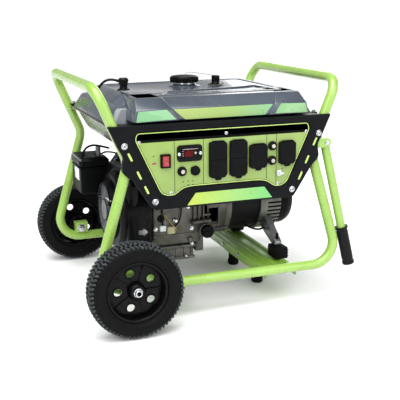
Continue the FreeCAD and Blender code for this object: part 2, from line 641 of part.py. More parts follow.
# Each push button: centre x, centre z
BUTTONS = {
    "reset_button": (-123.5, 410),
    "breaker_button_upper": (136, 460),
    "breaker_button_lower": (135, 420),
}


def clipped(left, right, low, high, corner):
    """A rectangle with its four corners cut off."""
    return [
        (f"{left} + {corner}", high), (f"{right} - {corner}", high), (right, f"{high} - {corner}"),
        (right, f"{low} + {corner}"), (f"{right} - {corner}", low), (f"{left} + {corner}", low),
        (left, f"{low} + {corner}"), (left, f"{high} - {corner}"),
    ]


def outlet(name, x, top, low, wide):
    """One outlet's body, and the sprung lid in front of it."""
    body = box((f"{x} - {wide} / 2 + 1.5", "-fascia_front - socket_thick", f"{low} + 2"),
               (f"{x} + {wide} / 2 - 1.5", "-fascia_front", f"{top} - 2"))
    back = "fascia_front + socket_thick + lid_gap"
    outline = clipped(f"{x} - {wide} / 2", f"{x} + {wide} / 2", low, top, "lid_corner")
    lid = plate("XZ_Plane", [outline], "lid_thick", back)
    tab = box((f"{x} - tab_half", f"-({back}) - lid_thick", f"{low} - tab_drop"),
              (f"{x} + tab_half", f"-({back})", low))
    part(name, lid if name == "dc_cover" else fuse(lid, tab))
    return body


def push_button(name, x, z):
    """One button, and the bush it slides in."""
    part(name, rod("button_radius", "button_proud - 4", (x, "-fascia_front - button_proud", z), "y"))
    return tube("button_radius + bush_wall", "button_radius + run_gap", "button_bush",
                (x, "-fascia_front - button_bush", z), "y")


def switch_frame():
    """The frame around the rocker, and the rocker itself."""
    half = ("rocker_wide / 2 + rocker_frame", "rocker_tall / 2 + rocker_frame")
    gap = ("rocker_wide / 2 + 1", "rocker_tall / 2 + 2")
    front = "-fascia_front - rocker_thick - 3"
    rim = box((f"rocker_x - ({half[0]})", front, f"rocker_z - ({half[1]})"),
              (f"rocker_x + {half[0]}", "-fascia_front", f"rocker_z + {half[1]}"))
    opening = box((f"rocker_x - ({gap[0]})", f"{front} - 1", f"rocker_z - ({gap[1]})"),
                  (f"rocker_x + {gap[0]}", "-fascia_front + 1", f"rocker_z + {gap[1]}"))
    part("switch_rocker", box(
        ("rocker_x - rocker_wide / 2", f"{front} - 2", "rocker_z - rocker_tall / 2"),
        ("rocker_x + rocker_wide / 2", "-fascia_front - 4", "rocker_z + rocker_tall / 2")))
    return cut(rim, opening)


def panel_devices():
    """Outlets, switch and breakers on the fascia, with the pieces that move on them."""
    bodies = [outlet(name, *sizes) for name, sizes in LIDS.items()]
    bodies += [push_button(name, *centre) for name, centre in BUTTONS.items()]
    bodies.append(switch_frame())
    part("panel_sockets", together(*bodies))
    outline = clipped("meter_x - meter_wide / 2", "meter_x + meter_wide / 2",
                      "meter_z - meter_tall / 2", "meter_z + meter_tall / 2", "meter_corner")
    part("digital_meter", plate("XZ_Plane", [outline], "meter_thick", "fascia_front"))


# ------------------------------------------------------------------ engine
def leaned(obj):
    """Leans a piece built along its own +Z from the crank axis onto the cylinder's axis."""
    lean = FreeCAD.Rotation(V(1, 0, 0), -(90 - value("barrel_tilt")))
    return place(obj, ("barrel_x", "0", "crank_z"), lean)


def square_slab(half, low, high):
    return box((f"-({half})", f"-({half})", low), (half, half, high))


def engine_block():
    case = box(("case_left", "-case_half", "case_low"), ("case_right", "case_half", "case_high"))
    sump = box(("sump_left", "-sump_half", "sump_low"), ("sump_right", "sump_half", "sump_high"))
    fins = [
        square_slab("fin_side / 2", f"head_start - {i} * fin_pitch",
                    f"head_start - {i} * fin_pitch + fin_thick")
        for i in range(1, int(value("fin_count")) + 1)
    ]
    barrel = leaned(fuse(rod("barrel_radius", "head_start", ("0", "0", "0")), *fins))
    hollow = box(("case_left + case_wall", "-case_half + case_wall", "case_low + case_wall"),
                 ("case_right - case_wall", "case_half - case_wall", "case_high - case_wall"))
    bores = rod("shaft_radius + run_gap", "case_right - (case_left) + 2",
                ("case_left - 1", "0", "crank_z"), "x")
    cylinder_bore = leaned(rod("bore_radius", "head_start + 1", ("0", "0", "0")))
    boss = rod("boss_radius", "boss_long", ("boss_left", "-case_half - 5", "boss_z"), "x")
    neck = box(("neck_left", "-case_half", "neck_low"), ("neck_right", "-neck_half", "neck_high"))
    filler = rod("oil_cap_radius - 3", "12", ("oil_cap_x", "-case_half - 12", "oil_cap_z"), "y")
    part("crankcase", cut(fuse(case, sump, barrel, boss, neck, filler), hollow, bores, cylinder_bore))
    slab = square_slab("fin_side / 2 - 4", "head_start", "head_start + head_deep")
    plug = rod("9", "26", ("fin_side / 2 - 30", "-(fin_side / 2) - 18", "head_start + head_deep / 2"), "y")
    part("cylinder_head", leaned(fuse(slab, plug)))
    lid_low = "head_start + head_deep"
    part("valve_cover", leaned(fuse(
        square_slab("fin_side / 2 - 18", lid_low, f"{lid_low} + cover_deep - 6"),
        square_slab("fin_side / 2 - 24", lid_low, f"{lid_low} + cover_deep"))))
    cap = [
        ("0", "0"), ("oil_cap_radius - 2", "0"), ("oil_cap_radius", "3"),
        ("oil_cap_radius", "oil_cap_long - 6"), ("oil_cap_radius - 5", "oil_cap_long"),
        ("0", "oil_cap_long"),
    ]
    facing_out = FreeCAD.Rotation(V(1, 0, 0), 90)
    part("oil_filler_cap", place(turned(cap), ("oil_cap_x", "-case_half - 12.3", "oil_cap_z"), facing_out))


def engine_ends():
    """Blower housing, recoil cover, and the crank train that turns inside them."""
    long = "blower_right - (blower_left)"
    drum = rod("blower_radius", long, ("blower_left", "0", "crank_z"), "x")
    skirt = box(("blower_left + 30", "-blower_radius", "case_low + 12"), ("blower_right", "0", "crank_z"))
    inside = rod("blower_radius - blower_wall", f"{long} + 1",
                 ("blower_left + blower_wall", "0", "crank_z"), "x")
    mouth = rod("recoil_radius - 8", "blower_wall + 2", ("blower_left - 1", "0", "crank_z"), "x")
    part("blower_housing", cut(fuse(drum, skirt), inside, mouth))
    cover = rod("recoil_radius", "blower_left - (recoil_left)", ("recoil_left", "0", "crank_z"), "x")
    hollow = rod("recoil_radius - recoil_wall", "blower_left - (recoil_left)",
                 ("recoil_left + recoil_wall", "0", "crank_z"), "x")
    slots = []
    count = int(value("louvre_count"))
    for i in range(count):
        turn = FreeCAD.Rotation(V(1, 0, 0), 360 * i / count)
        reach = turn.multVec(V(0, -value("louvre_wide / 2"), value("recoil_radius") * 0.58))
        slot = doc.addObject("Part::Box", "slot")
        bind(slot, Length="recoil_wall + 2", Width="louvre_wide", Height="louvre_long")
        at = ("recoil_left - 1", f"{reach.y:.6f}", f"crank_z + {reach.z:.6f}")
        slots.append(place(slot, at, turn))
    rope_hole = rod("rope_hole", "30", ("rope_x", "-rope_y - 8", "rope_z"), "y")
    part("recoil_cover", cut(cover, hollow, rope_hole, *slots))
    part("recoil_handle", fuse(
        rod("7", "32", ("rope_x - 16", "-rope_y - 16", "rope_z"), "x"),
        rod("6", "12", ("rope_x", "-rope_y - 12", "rope_z"), "y")))
    part("recoil_rope", rod("2.5", "60", ("rope_x", "-rope_y", "rope_z"), "y"))


def crank_train():
    shaft = rod("shaft_radius", "bracket_right - (blower_left) + 5",
                ("blower_left + 8", "0", "crank_z"), "x")
    throw = rod("bore_radius", "24", ("barrel_x - 12", "0", "crank_z"), "x")
    webs = [rod("46", "14", (f"barrel_x {shift}", "0", "crank_z"), "x") for shift in ("- 26", "+ 12")]
    pin = rod("15", "24", ("barrel_x - 12", "0", "crank_z + 28"), "x")
    part("crankshaft", fuse(cut(shaft, throw), pin, *webs))
    disc = rod("flywheel_radius", "flywheel_thick", ("flywheel_left", "0", "crank_z"), "x")
    blades = []
    count = int(value("fan_blades"))
    for i in range(count):
        turn = FreeCAD.Rotation(V(1, 0, 0), 360 * i / count)
        low = turn.multVec(V(0, -1.5, value("flywheel_radius") * 0.55))
        blade = doc.addObject("Part::Box", "blade")
        bind(blade, Length="fan_blade_long", Width="3", Height="flywheel_radius * 0.42")
        at = ("flywheel_left - fan_blade_long", f"{low.y:.6f}", f"crank_z + {low.z:.6f}")
        blades.append(place(blade, at, turn))
    seat = rod("shaft_radius", "flywheel_thick + 2", ("flywheel_left - 1", "0", "crank_z"), "x")
    part("flywheel", cut(fuse(disc, *blades), seat))
    part("rotor", tube("rotor_radius", "shaft_radius", "stator_right - stator_left - 6",
                       ("stator_left + 3", "0", "crank_z"), "x"))


def breathing():
    """Muffler with its short exhaust pipe, air cleaner, carburettor and choke lever."""
    length = "muffler_right - muffler_left"
    can = rod("muffler_radius", length, ("muffler_left", "muffler_y", "muffler_z"), "x")
    inside = rod("muffler_radius - 3", f"{length} - 6", ("muffler_left + 3", "muffler_y", "muffler_z"), "x")
    pipe_start = "barrel_x + fin_side / 2 - 4"
    pipe = rod("pipe_radius", f"muffler_left - ({pipe_start}) + 1",
               (pipe_start, "muffler_y + 30", "muffler_z - 18"), "x")
    tail_at = ("muffler_right - tail_inset", "muffler_y + tail_start", "muffler_z")
    tail = rod("pipe_radius", "tail_long", tail_at, "y")
    collar = rod("pipe_radius + 3", "tail_collar", tail_at, "y")
    part("muffler", fuse(cut(can, inside), pipe, tail, collar))
    shell = box(("cleaner_left", "cleaner_near", "cleaner_low"),
                ("cleaner_right", "cleaner_far", "cleaner_high"))
    cavity = box(("cleaner_left + 3", "cleaner_near + 3", "cleaner_low + 3"),
                 ("cleaner_right - 3", "cleaner_far - 3", "cleaner_high - 3"))
    part("air_cleaner", cut(shell, cavity))
    side = "carb_side / 2"
    block = box(("cleaner_right + 16", f"carb_y - {side}", f"carb_z - {side}"),
                ("cleaner_right + 16 + carb_side", f"carb_y + {side}", f"carb_z + {side}"))
    throat = rod("14", "barrel_x - fin_side / 2 + 4 - (cleaner_right)",
                 ("cleaner_right", "carb_y", "carb_z"), "x")
    part("carburetor", fuse(block, throat))
    pivot_y = "carb_y - carb_side / 2"
    lever = box(("choke_x - 4", f"{pivot_y} - 4", "carb_z + 6"),
                ("choke_x + 4", f"{pivot_y} - 1", "carb_z + 52"))
    hub = rod("7", "3", ("choke_x", f"{pivot_y} - 4", "carb_z + 8"), "y")
    part("choke_lever", fuse(lever, hub))


# ------------------------------------------------------------------ alternator
def alternator():
    axis = ("0", "crank_z")
    ring = tube("adapter_radius", "adapter_radius - shell_wall", "stator_left - adapter_left",
                ("adapter_left", *axis), "x")
    wall = tube("adapter_radius", "shaft_radius + 8", "5", ("adapter_left", *axis), "x")
    bridge = tube("46", "shaft_radius + 8", "adapter_left - case_right", ("case_right", *axis), "x")
    window = box(("window_left", "-adapter_radius - 2", "crank_z - 50"),
                 ("window_right", "0", "crank_z + 2"))
    part("alternator_adapter", fuse(cut(fuse(ring, wall), window), bridge))
    part("stator", tube("stator_radius", "stator_bore", "stator_right - stator_left",
                        ("stator_left", *axis), "x"))
    ring = tube("bracket_radius", "bracket_radius - shell_wall", "bracket_right - stator_right",
                ("stator_right", *axis), "x")
    wall = tube("bracket_radius", "shaft_radius + run_gap", "7", ("bracket_right - 7", *axis), "x")
    vents = [
        box(("stator_right + 12", "-bracket_radius - 2", f"crank_z + slot_low + {i} * slot_pitch"),
            ("bracket_right - 10", "bracket_radius + 2",
             f"crank_z + slot_low + {i} * slot_pitch + slot_tall"))
        for i in range(int(value("slot_count")))
    ]
    legs = []
    for side in ("-1", "1"):
        leg = [
            (f"{side} * 64", "crank_z - 78"), (f"{side} * 88", "crank_z - 46"),
            (f"{side} * (mount_y + 10)", "mount_top + 10"), (f"{side} * (mount_y + 10)", "mount_top"),
            (f"{side} * (mount_y - 26)", "mount_top"),
        ]
        legs.append(plate("YZ_Plane", [leg], "26", "mount_x - 13"))
    part("alternator_end_bracket", fuse(cut(fuse(ring, wall), *vents), *legs))
    depth = "cover_right - bracket_right"
    dome = [
        ("0", f"{depth} - 3"), ("cover_radius - 26", f"{depth} - 3"), ("cover_radius - 4", f"{depth} - 24"),
        ("cover_radius - 3", "0"), ("cover_radius", "0"), ("cover_radius", f"{depth} - 24"),
        ("cover_radius - 24", depth), ("0", depth),
    ]
    part("alternator_end_cover", turned(dome, ("bracket_right", *axis), "x"))


# ------------------------------------------------------------------ build, check and write
frame()
crossmembers()
frame_brackets()
wheels()
pivot_bolts()
handles()
fuel_tank()
tank_fittings()
control_panel()
panel_fasteners()
panel_devices()
engine_block()
engine_ends()
crank_train()
breathing()
alternator()
doc.recompute()

failed = [obj.Name for obj in doc.Objects if {"Invalid", "Error"} & set(obj.State)]
empty = [name for name, obj in PARTS.items() if obj.Shape.isNull() or not obj.Shape.isValid()]
if failed or empty:
    raise RuntimeError(f"failed objects {failed}, bad sub-parts {empty}")
os.makedirs("parts", exist_ok=True)
for name, obj in PARTS.items():
    obj.Shape.exportStep(f"parts/{name}.step")
print(len(PARTS), "sub-parts written")
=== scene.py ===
# %% [markdown]
# # An open-frame portable generator
#
# The machine is a recoil-start engine with a round alternator bolted to its end. Both hang in a bare
# tube frame with two wheels, under a pressed-steel fuel tank, behind a control panel.
# The imported model already holds every piece at its true size and place, in metres: +X runs along the
# crankshaft, the panel faces -Y, +Z is up. Here each piece gets the shape and finish that the eye expects.
# We load the imported model first.

# %% Load the imported machine
import json
import math

import bmesh
import bpy
from mathutils import Matrix, Quaternion, Vector


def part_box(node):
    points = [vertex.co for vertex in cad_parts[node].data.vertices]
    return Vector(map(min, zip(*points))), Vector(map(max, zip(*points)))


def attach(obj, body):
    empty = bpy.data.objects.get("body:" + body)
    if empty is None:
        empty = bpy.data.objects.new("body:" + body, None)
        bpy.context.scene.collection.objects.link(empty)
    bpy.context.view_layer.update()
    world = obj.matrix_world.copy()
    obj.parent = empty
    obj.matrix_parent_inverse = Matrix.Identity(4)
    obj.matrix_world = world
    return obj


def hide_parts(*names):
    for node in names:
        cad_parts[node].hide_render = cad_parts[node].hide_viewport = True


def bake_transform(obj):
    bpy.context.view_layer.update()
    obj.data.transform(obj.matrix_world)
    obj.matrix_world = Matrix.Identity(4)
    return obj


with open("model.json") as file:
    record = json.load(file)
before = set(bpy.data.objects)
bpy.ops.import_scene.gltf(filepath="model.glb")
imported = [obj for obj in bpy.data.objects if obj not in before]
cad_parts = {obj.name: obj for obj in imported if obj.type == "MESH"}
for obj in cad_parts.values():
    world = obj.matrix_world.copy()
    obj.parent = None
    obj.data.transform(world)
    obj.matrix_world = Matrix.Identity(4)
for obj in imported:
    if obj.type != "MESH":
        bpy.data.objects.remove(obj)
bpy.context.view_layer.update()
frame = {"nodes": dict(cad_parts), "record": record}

# %% [markdown]
# ## Units and small measuring tools
#
# A workshop drawing is read in millimetres, so every mesh below is drawn in millimetres and shrunk to
# metres once, when it becomes an object. `span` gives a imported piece's corners in millimetres, and most
# places below are worked out from them.

# %% Millimetres
MM = 0.001


def span(node):
    """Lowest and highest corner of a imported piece, in millimetres."""
    low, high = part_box(node)
    return Vector(low) / MM, Vector(high) / MM


def middle(node):
    low, high = span(node)
    return (low + high) / 2


def link(thing):
    """Puts an object into the scene."""
    bpy.context.scene.collection.objects.link(thing)
    return thing


def tilt(degrees, axis):
    return Matrix.Rotation(math.radians(degrees), 3, axis)


CRANK_Z = middle("rotor").z
print("crank axis at z =", round(CRANK_Z, 1), "mm")

# %% [markdown]
# ## The camera
#
# The machine is seen from its front left corner, a little above the panel, with a long lens, so that
# upright lines stay nearly upright. The camera looks from `EYE` at `AIM`, and is rolled by under half a
# degree, as a hand-held camera is.

# %% Camera
EYE = Vector((-807.7, -2266.6, 847.1)) * MM
AIM = Vector((82.8, 125.5, 217.6)) * MM
LENS, SENSOR_WIDE = 73.46, 36
ROLL = math.radians(-0.43)

camera = bpy.data.objects.new("camera", bpy.data.cameras.new("camera"))
camera.data.lens = LENS
camera.data.sensor_width = SENSOR_WIDE
camera.location = EYE
camera.rotation_mode = "QUATERNION"
camera.rotation_quaternion = (AIM - EYE).to_track_quat("-Z", "Y") @ Quaternion((0, 0, 1), ROLL)
link(camera)
bpy.context.scene.camera = camera
print("camera is", round((AIM - EYE).length, 2), "m from the machine")

# %% [markdown]
# ## Floor and light
#
# Catalogue shots of machines are lit by large soft lamps over a white sweep. Here the sweep is flat under
# the machine and rises gently to its far edge, which keeps the horizon out of view. A very soft sun keeps it
# white. A broad lamp overhead draws the long highlights on the tubes, two softer ones in front fill the
# panel, and a weak one behind the right side lifts the black pieces off each other. The world is a plain
# grey, dim enough for black pieces to stay black.

# %% Floor and lamps
STAGE_SIZE = 400.0
SWEEP_FLAT = 12.0
SWEEP_RISE = 12.0
SWEEP_SIDES = 32
SUN_POWER, SUN_SPREAD, SUN_TILT = 3.2, 70, (28, -16, 0)
WORLD_LIGHT = 0.38
# where each lamp is, where it points, how wide it is (all in metres) and its power in watts
LAMPS = {
    "lamp_overhead": ((-0.5, -0.6, 2.6), (0, 0, 0.3), 1.8, 40),
    "lamp_left_front": ((-2.4, -2.2, 1.5), (0, 0, 0.35), 1.6, 24),
    "lamp_right_front": ((1.6, -2.6, 1.3), (0.1, -0.2, 0.3), 1.8, 24),
    "lamp_behind": ((1.8, 2.2, 1.6), (0, 0, 0.3), 1.6, 22),
}

sun = link(bpy.data.objects.new("soft_sun", bpy.data.lights.new("soft_sun", "SUN")))
sun.data.energy = SUN_POWER
sun.data.angle = math.radians(SUN_SPREAD)
sun.rotation_euler = [math.radians(turn) for turn in SUN_TILT]
for name, (at, aim, size, power) in LAMPS.items():
    lamp = link(bpy.data.objects.new(name, bpy.data.lights.new(name, "AREA")))
    lamp.data.shape = "SQUARE"
    lamp.data.size = size
    lamp.data.energy = power
    lamp.location = at
    lamp.rotation_mode = "QUATERNION"
    lamp.rotation_quaternion = (Vector(aim) - Vector(at)).to_track_quat("-Z", "Y")

floor_mesh = bpy.data.meshes.new("floor")
turns = [2 * math.pi * i / SWEEP_SIDES for i in range(SWEEP_SIDES)]
sweep = [(reach * math.cos(t), reach * math.sin(t), rise)
         for reach, rise in ((SWEEP_FLAT, 0), (STAGE_SIZE / 2, SWEEP_RISE)) for t in turns]
sweep_faces = [tuple(range(SWEEP_SIDES))]
for i in range(SWEEP_SIDES):
    after = (i + 1) % SWEEP_SIDES
    sweep_faces.append((i, after, after + SWEEP_SIDES, i + SWEEP_SIDES))
floor_mesh.from_pydata(sweep, [], sweep_faces)
floor = bpy.data.objects.new("floor", floor_mesh)
link(floor)

world = bpy.data.worlds.new("studio")
world.use_nodes = True
world.node_tree.nodes["Background"].inputs["Color"].default_value = (1, 1, 1, 1)
world.node_tree.nodes["Background"].inputs["Strength"].default_value = WORLD_LIGHT
bpy.context.scene.world = world
bpy.context.scene.view_settings.view_transform = "Standard"
print("a soft sun and", len(LAMPS), "lamps over a", STAGE_SIZE, "m sweep")

# %% [markdown]
# ## One way to make a finish
#
# Nearly every finish here is the same few decisions: a base colour, how shiny it is, how far the colour
# and the shine wander over the surface, and how deep and how fine the grain is. `finish` makes those
# decisions into shader nodes, all read from object coordinates, so that a pattern keeps its real size in
# millimetres. Colours are sRGB hex values, as a paint chart gives them, turned to linear light in one place.

# %% Colour and node helpers
def linear(colour):
    """An sRGB hex colour such as B5E250, as linear red, green, blue and a full alpha."""
    channels = [int(colour[i:i + 2], 16) / 255 for i in (0, 2, 4)]
    light = [c / 12.92 if c <= 0.04045 else ((c + 0.055) / 1.055) ** 2.4 for c in channels]
    return (*light, 1.0)


def node(tree, kind, inputs=None, **settings):
    """Adds one node. An input is a plain value, or the output socket that feeds it."""
    made = tree.nodes.new(kind)
    for name, value in settings.items():
        setattr(made, name, value)
    for socket, value in (inputs or {}).items():
        if isinstance(value, bpy.types.NodeSocket):
            tree.links.new(value, made.inputs[socket])
        else:
            made.inputs[socket].default_value = value
    return made


print("lime B5E250 in linear light:", [round(c, 3) for c in linear("B5E250")])


# %% The general finish
def noise(tree, coords, size, detail=3.0, roughness=0.5):
    """Noise whose blotches are about size millimetres across, as a value socket."""
    return node(tree, "ShaderNodeTexNoise", {
        "Vector": coords, "Scale": 1 / (size * MM), "Detail": detail, "Roughness": roughness,
    }).outputs["Fac"]


def spread(tree, value, low, high, start=0.35, end=0.65):
    """Stretches a value between start and end to run from low to high."""
    return node(tree, "ShaderNodeMapRange", {
        "Value": value, "From Min": start, "From Max": end, "To Min": low, "To Max": high,
    }).outputs["Result"]


def blend_colour(tree, factor, first, second):
    """Mixes two colours, each a hex value or a socket."""
    made = node(tree, "ShaderNodeMix", {"Factor": factor}, data_type="RGBA")
    for index, colour in ((6, first), (7, second)):
        if isinstance(colour, str):
            made.inputs[index].default_value = linear(colour)
        else:
            tree.links.new(colour, made.inputs[index])
    return made.outputs[2]


def finish(name, base, shade, rough, patch=40, grain=1.5, depth=0.03, wander=0.08, metal=0.0, **shader):
    """A material with patches of shade in base, a wandering shine and a fine grain, sizes in millimetres."""
    made = bpy.data.materials.new(name)
    made.use_nodes = True
    tree = made.node_tree
    surface = tree.nodes["Principled BSDF"]
    surface.inputs["Metallic"].default_value = metal
    for socket, value in shader.items():
        surface.inputs[socket.replace("_", " ")].default_value = value
    coords = node(tree, "ShaderNodeTexCoord").outputs["Object"]
    patches = spread(tree, noise(tree, coords, patch), 0.0, 1.0)
    tree.links.new(blend_colour(tree, patches, base, shade), surface.inputs["Base Color"])
    shine = spread(tree, noise(tree, coords, patch / 3), rough - wander, rough + wander)
    tree.links.new(shine, surface.inputs["Roughness"])
    bump = node(tree, "ShaderNodeBump", {
        "Height": noise(tree, coords, grain, detail=2.0), "Distance": depth * MM, "Strength": 1.0,
    })
    tree.links.new(bump.outputs["Normal"], surface.inputs["Normal"])
    made.diffuse_color = linear(base)
    return made


def parts_of(material):
    """The tree, shader, coordinates and base colour socket of a finish, to add to it."""
    tree = material.node_tree
    surface = tree.nodes["Principled BSDF"]
    coords = next(n for n in tree.nodes if n.bl_idname == "ShaderNodeTexCoord").outputs["Object"]
    return tree, surface, coords, surface.inputs["Base Color"].links[0].from_socket


# %% [markdown]
# ## Paints and plastics
#
# The frame is **powder coat**: dry paint baked on, thick and slightly rippled like orange peel, about
# a millimetre and a half from ripple to ripple. The tank is **wet enamel** over pressed steel, smoother
# and glossier. The panel surround and the outlet lids are **ABS and polypropylene**, which come out of
# a textured mould and so have a fine, even grain and a broad soft shine.

# %% Paints and plastics
lime_powder = finish("lime_powder_coat", "8CB04E", "83A845", 0.30, patch=90, grain=1.6, depth=0.035,
                     wander=0.05, Coat_Weight=0.6, Coat_Roughness=0.16)
# a darker copy of the frame's lime powder coat for the two crossmembers: painted shade where they lie under
# the engine and alternator
lime_shadow = finish("lime_powder_coat_painted_shade", "7FA840", "6F9836", 0.36, patch=60, grain=1.6, depth=0.04,
                     wander=0.06, Coat_Weight=0.2, Coat_Roughness=0.2)
# the tank's black enamel is drawn as a lighter blue grey: a painted reflection of the sky on its glossy
# slopes and top
tank_enamel_painted_sheen = finish("black_enamel_tank_painted_sheen", "404852", "333A43", 0.24, patch=120, grain=2.2, depth=0.02,
                     wander=0.05, Coat_Weight=0.38, Coat_Roughness=0.1)
panel_abs = finish("black_abs_grained", "0A0B0E", "0E0F12", 0.46, patch=50, grain=0.9, depth=0.05,
                   Specular_IOR_Level=0.09)
lid_plastic = finish("black_polypropylene_lid", "060708", "0A0B0C", 0.42, patch=30, grain=0.8, depth=0.04,
                     Specular_IOR_Level=0.08)
gloss_plastic = finish("black_nylon_gloss", "050506", "080809", 0.28, patch=30, grain=1.2, depth=0.02,
                       Specular_IOR_Level=0.12)
engine_black = finish("black_enamel_engine", "050506", "08080A", 0.34, patch=45, grain=1.4, depth=0.04,
                      Specular_IOR_Level=0.12)
# the red plastic glows faintly from its emission: a painted glow, the switch holds no lamp; the printed off
# mark on the face shares it
rocker_red = finish("red_polycarbonate_painted_glow", "9C2630", "861E27", 0.34, patch=12, grain=0.8, depth=0.01,
                    Emission_Color=linear("C03040"), Emission_Strength=0.08)
display_red = finish("dark_red_acrylic_window", "5A0C10", "3A080A", 0.3, patch=10, grain=2.0, depth=0.003,
                     Specular_IOR_Level=0.1)
pale_plastic = finish("pale_nylon", "B4B1A8", "A19E94", 0.38, patch=8, grain=0.8, depth=0.02)
beige_plastic = finish("beige_nylon_plug", "BDB892", "A39E78", 0.44, patch=8, grain=0.8, depth=0.02)
yellow_wire = finish("yellow_wire_insulation", "A8902E", "8C7722", 0.4, patch=6, grain=0.6, depth=0.02)
print(len(bpy.data.materials), "materials so far")

# %% [markdown]
# ## Rubber
#
# Tyres and grips are **carbon-black rubber**. It is never quite black: a wheel that has been rolled
# over a yard carries grey dust in its tread, so the tread's finish adds dust where the surface is
# furthest from the axle.

# %% Rubber
rubber = finish("carbon_black_rubber", "070708", "0A0A0B", 0.62, patch=25, grain=0.9, depth=0.06,
                Specular_IOR_Level=0.1)
grip_rubber = finish("grip_rubber", "08090A", "0C0D0E", 0.48, patch=18, grain=0.7, depth=0.05,
                     Specular_IOR_Level=0.15)
tread_rubber = finish("dusty_tread_rubber", "101213", "1C1F21", 0.74, patch=14, grain=1.1, depth=0.09,
                      Specular_IOR_Level=0.25)
tree, surface, coords, base_colour = parts_of(tread_rubber)
dust = spread(tree, noise(tree, coords, 5.0, detail=5.0), 0.0, 0.55)
tree.links.new(blend_colour(tree, dust, base_colour, "5A6062"), surface.inputs["Base Color"])

# %% [markdown]
# ## Metals
#
# The crankcase, adapter and end bracket are **die-cast aluminium**, left bare: a warm dull grey with a
# frosty grain and darker stains. The copy on the crankcase, head and adapter is painted darker than the end
# bracket's, as painted shade for the shadow under the panel and tank. Bolts and bright links are
# **zinc-plated steel**. The muffler is **heat-resistant matt black**, and the stator is a **stack of thin
# steel plates** painted black, whose edges still read as fine rings.

# %% Metals
# darker than the end bracket's copy below: painted shade on the crankcase, head and adapter
cast_aluminium = finish("die_cast_aluminium", "65635E", "4E4D49", 0.46, patch=35, grain=1.1, depth=0.10,
                        wander=0.10, metal=0.85)
vane_plastic = finish("grey_vane_plastic", "4A4D50", "5A5D60", 0.42, patch=30, grain=0.8, depth=0.04)
cast_bracket = finish("die_cast_aluminium_end_bracket", "74766F", "5F615B", 0.46, patch=35, grain=1.1,
                      depth=0.10, wander=0.10, metal=0.85)
cast_pale = finish("die_cast_aluminium_machined", "8E9092", "787A7C", 0.38, patch=22, grain=0.8, depth=0.05,
                   metal=0.9)
zinc_steel = finish("zinc_plated_steel", "D5D7DA", "B8BBC0", 0.22, patch=6, grain=0.6, depth=0.01, metal=1.0)
exhaust_black = finish("heat_resistant_black", "1C1B1A", "2A2725", 0.68, patch=30, grain=0.8, depth=0.07)
brushed_plate = finish("brushed_aluminium_plate", "8E9194", "7C7F83", 0.36, patch=16, grain=0.5, depth=0.02,
                       metal=1.0)
pressed_grey = finish("grey_enamel_pressed_steel", "55585E", "46494E", 0.34, patch=60, grain=1.6, depth=0.03,
                      metal=0.2, Coat_Weight=0.3)
tank_under = finish("brown_grey_enamel_tank", "1D1C1C", "161516", 0.26, patch=90, grain=2.0, depth=0.02,
                    wander=0.05, Coat_Weight=0.3, Coat_Roughness=0.1, Specular_IOR_Level=0.35)
brass = finish("brass_terminal", "B99650", "9A7A3C", 0.32, patch=6, grain=0.5, depth=0.01, metal=1.0)

lamination = finish("black_lamination_stack", "070708", "0B0B0C", 0.5, patch=40, grain=0.9, depth=0.03,
                    Specular_IOR_Level=0.15)
tree, surface, coords, base_colour = parts_of(lamination)
# real plates are 0.5 mm thick; drawn 2 mm apart, as fine as shows at this size
PLATE_PITCH = 2.0
along = node(tree, "ShaderNodeSeparateXYZ", {"Vector": coords}).outputs["X"]
waves = node(tree, "ShaderNodeMath", {0: along, 1: 2 * math.pi / (PLATE_PITCH * MM)}, operation="MULTIPLY")
edges = node(tree, "ShaderNodeMath", {0: waves.outputs[0]}, operation="SINE")
ridges = node(tree, "ShaderNodeBump", {"Height": edges.outputs[0], "Distance": 0.12 * MM, "Strength": 0.8})
tree.links.new(ridges.outputs["Normal"], surface.inputs["Normal"])
print(len(bpy.data.materials), "materials so far")

# %% [markdown]
# ## Printed plates and labels
#
# The panel's face is a **screen-printed sheet**: one even olive lime, almost flat. The blank strips on
# the tank's brow and on the panel's lower lip are **printed vinyl** whose colour slides from yellow lime
# to mint along the strip. The slide follows X in object space, so it is fixed to the strip.

# %% Printed finishes
print_lime = finish("screen_print_olive_lime", "829B4E", "7C9447", 0.34, patch=60, grain=1.0, depth=0.012,
                    wander=0.04, Coat_Weight=0.25, Coat_Roughness=0.2)
print_black = finish("screen_print_black", "040405", "060607", 0.36, patch=40, grain=1.0, depth=0.01,
                     Specular_IOR_Level=0.06)
trim_lime = finish("screen_print_trim_line", "B4CF72", "A9C664", 0.34, patch=40, grain=1.0, depth=0.01)
mark_grey = finish("switch_mark_grey", "9A6A6E", "8C5C60", 0.4, patch=20, grain=1.2, depth=0.008)
white_vinyl = finish("white_vinyl_blank", "E9ECEE", "DADFE3", 0.3, patch=20, grain=1.2, depth=0.008)


def sliding_vinyl(name, start, end, first, last, middle_hex=None):
    """Printed vinyl whose colour slides along X from start to end, in millimetres."""
    made = finish(name, first, first, 0.3, patch=30, grain=1.0, depth=0.008, wander=0.03,
                  Coat_Weight=0.4, Coat_Roughness=0.1)
    tree, surface, coords, base = parts_of(made)
    along = node(tree, "ShaderNodeSeparateXYZ", {"Vector": coords}).outputs["X"]
    place = spread(tree, along, 0.0, 1.0, start * MM, end * MM)
    ramp = node(tree, "ShaderNodeValToRGB", {"Fac": place})
    ramp.color_ramp.elements[0].color = linear(first)
    ramp.color_ramp.elements[1].color = linear(last)
    if middle_hex:
        ramp.color_ramp.elements.new(0.55).color = linear(middle_hex)
    tree.links.new(ramp.outputs["Color"], surface.inputs["Base Color"])
    return made


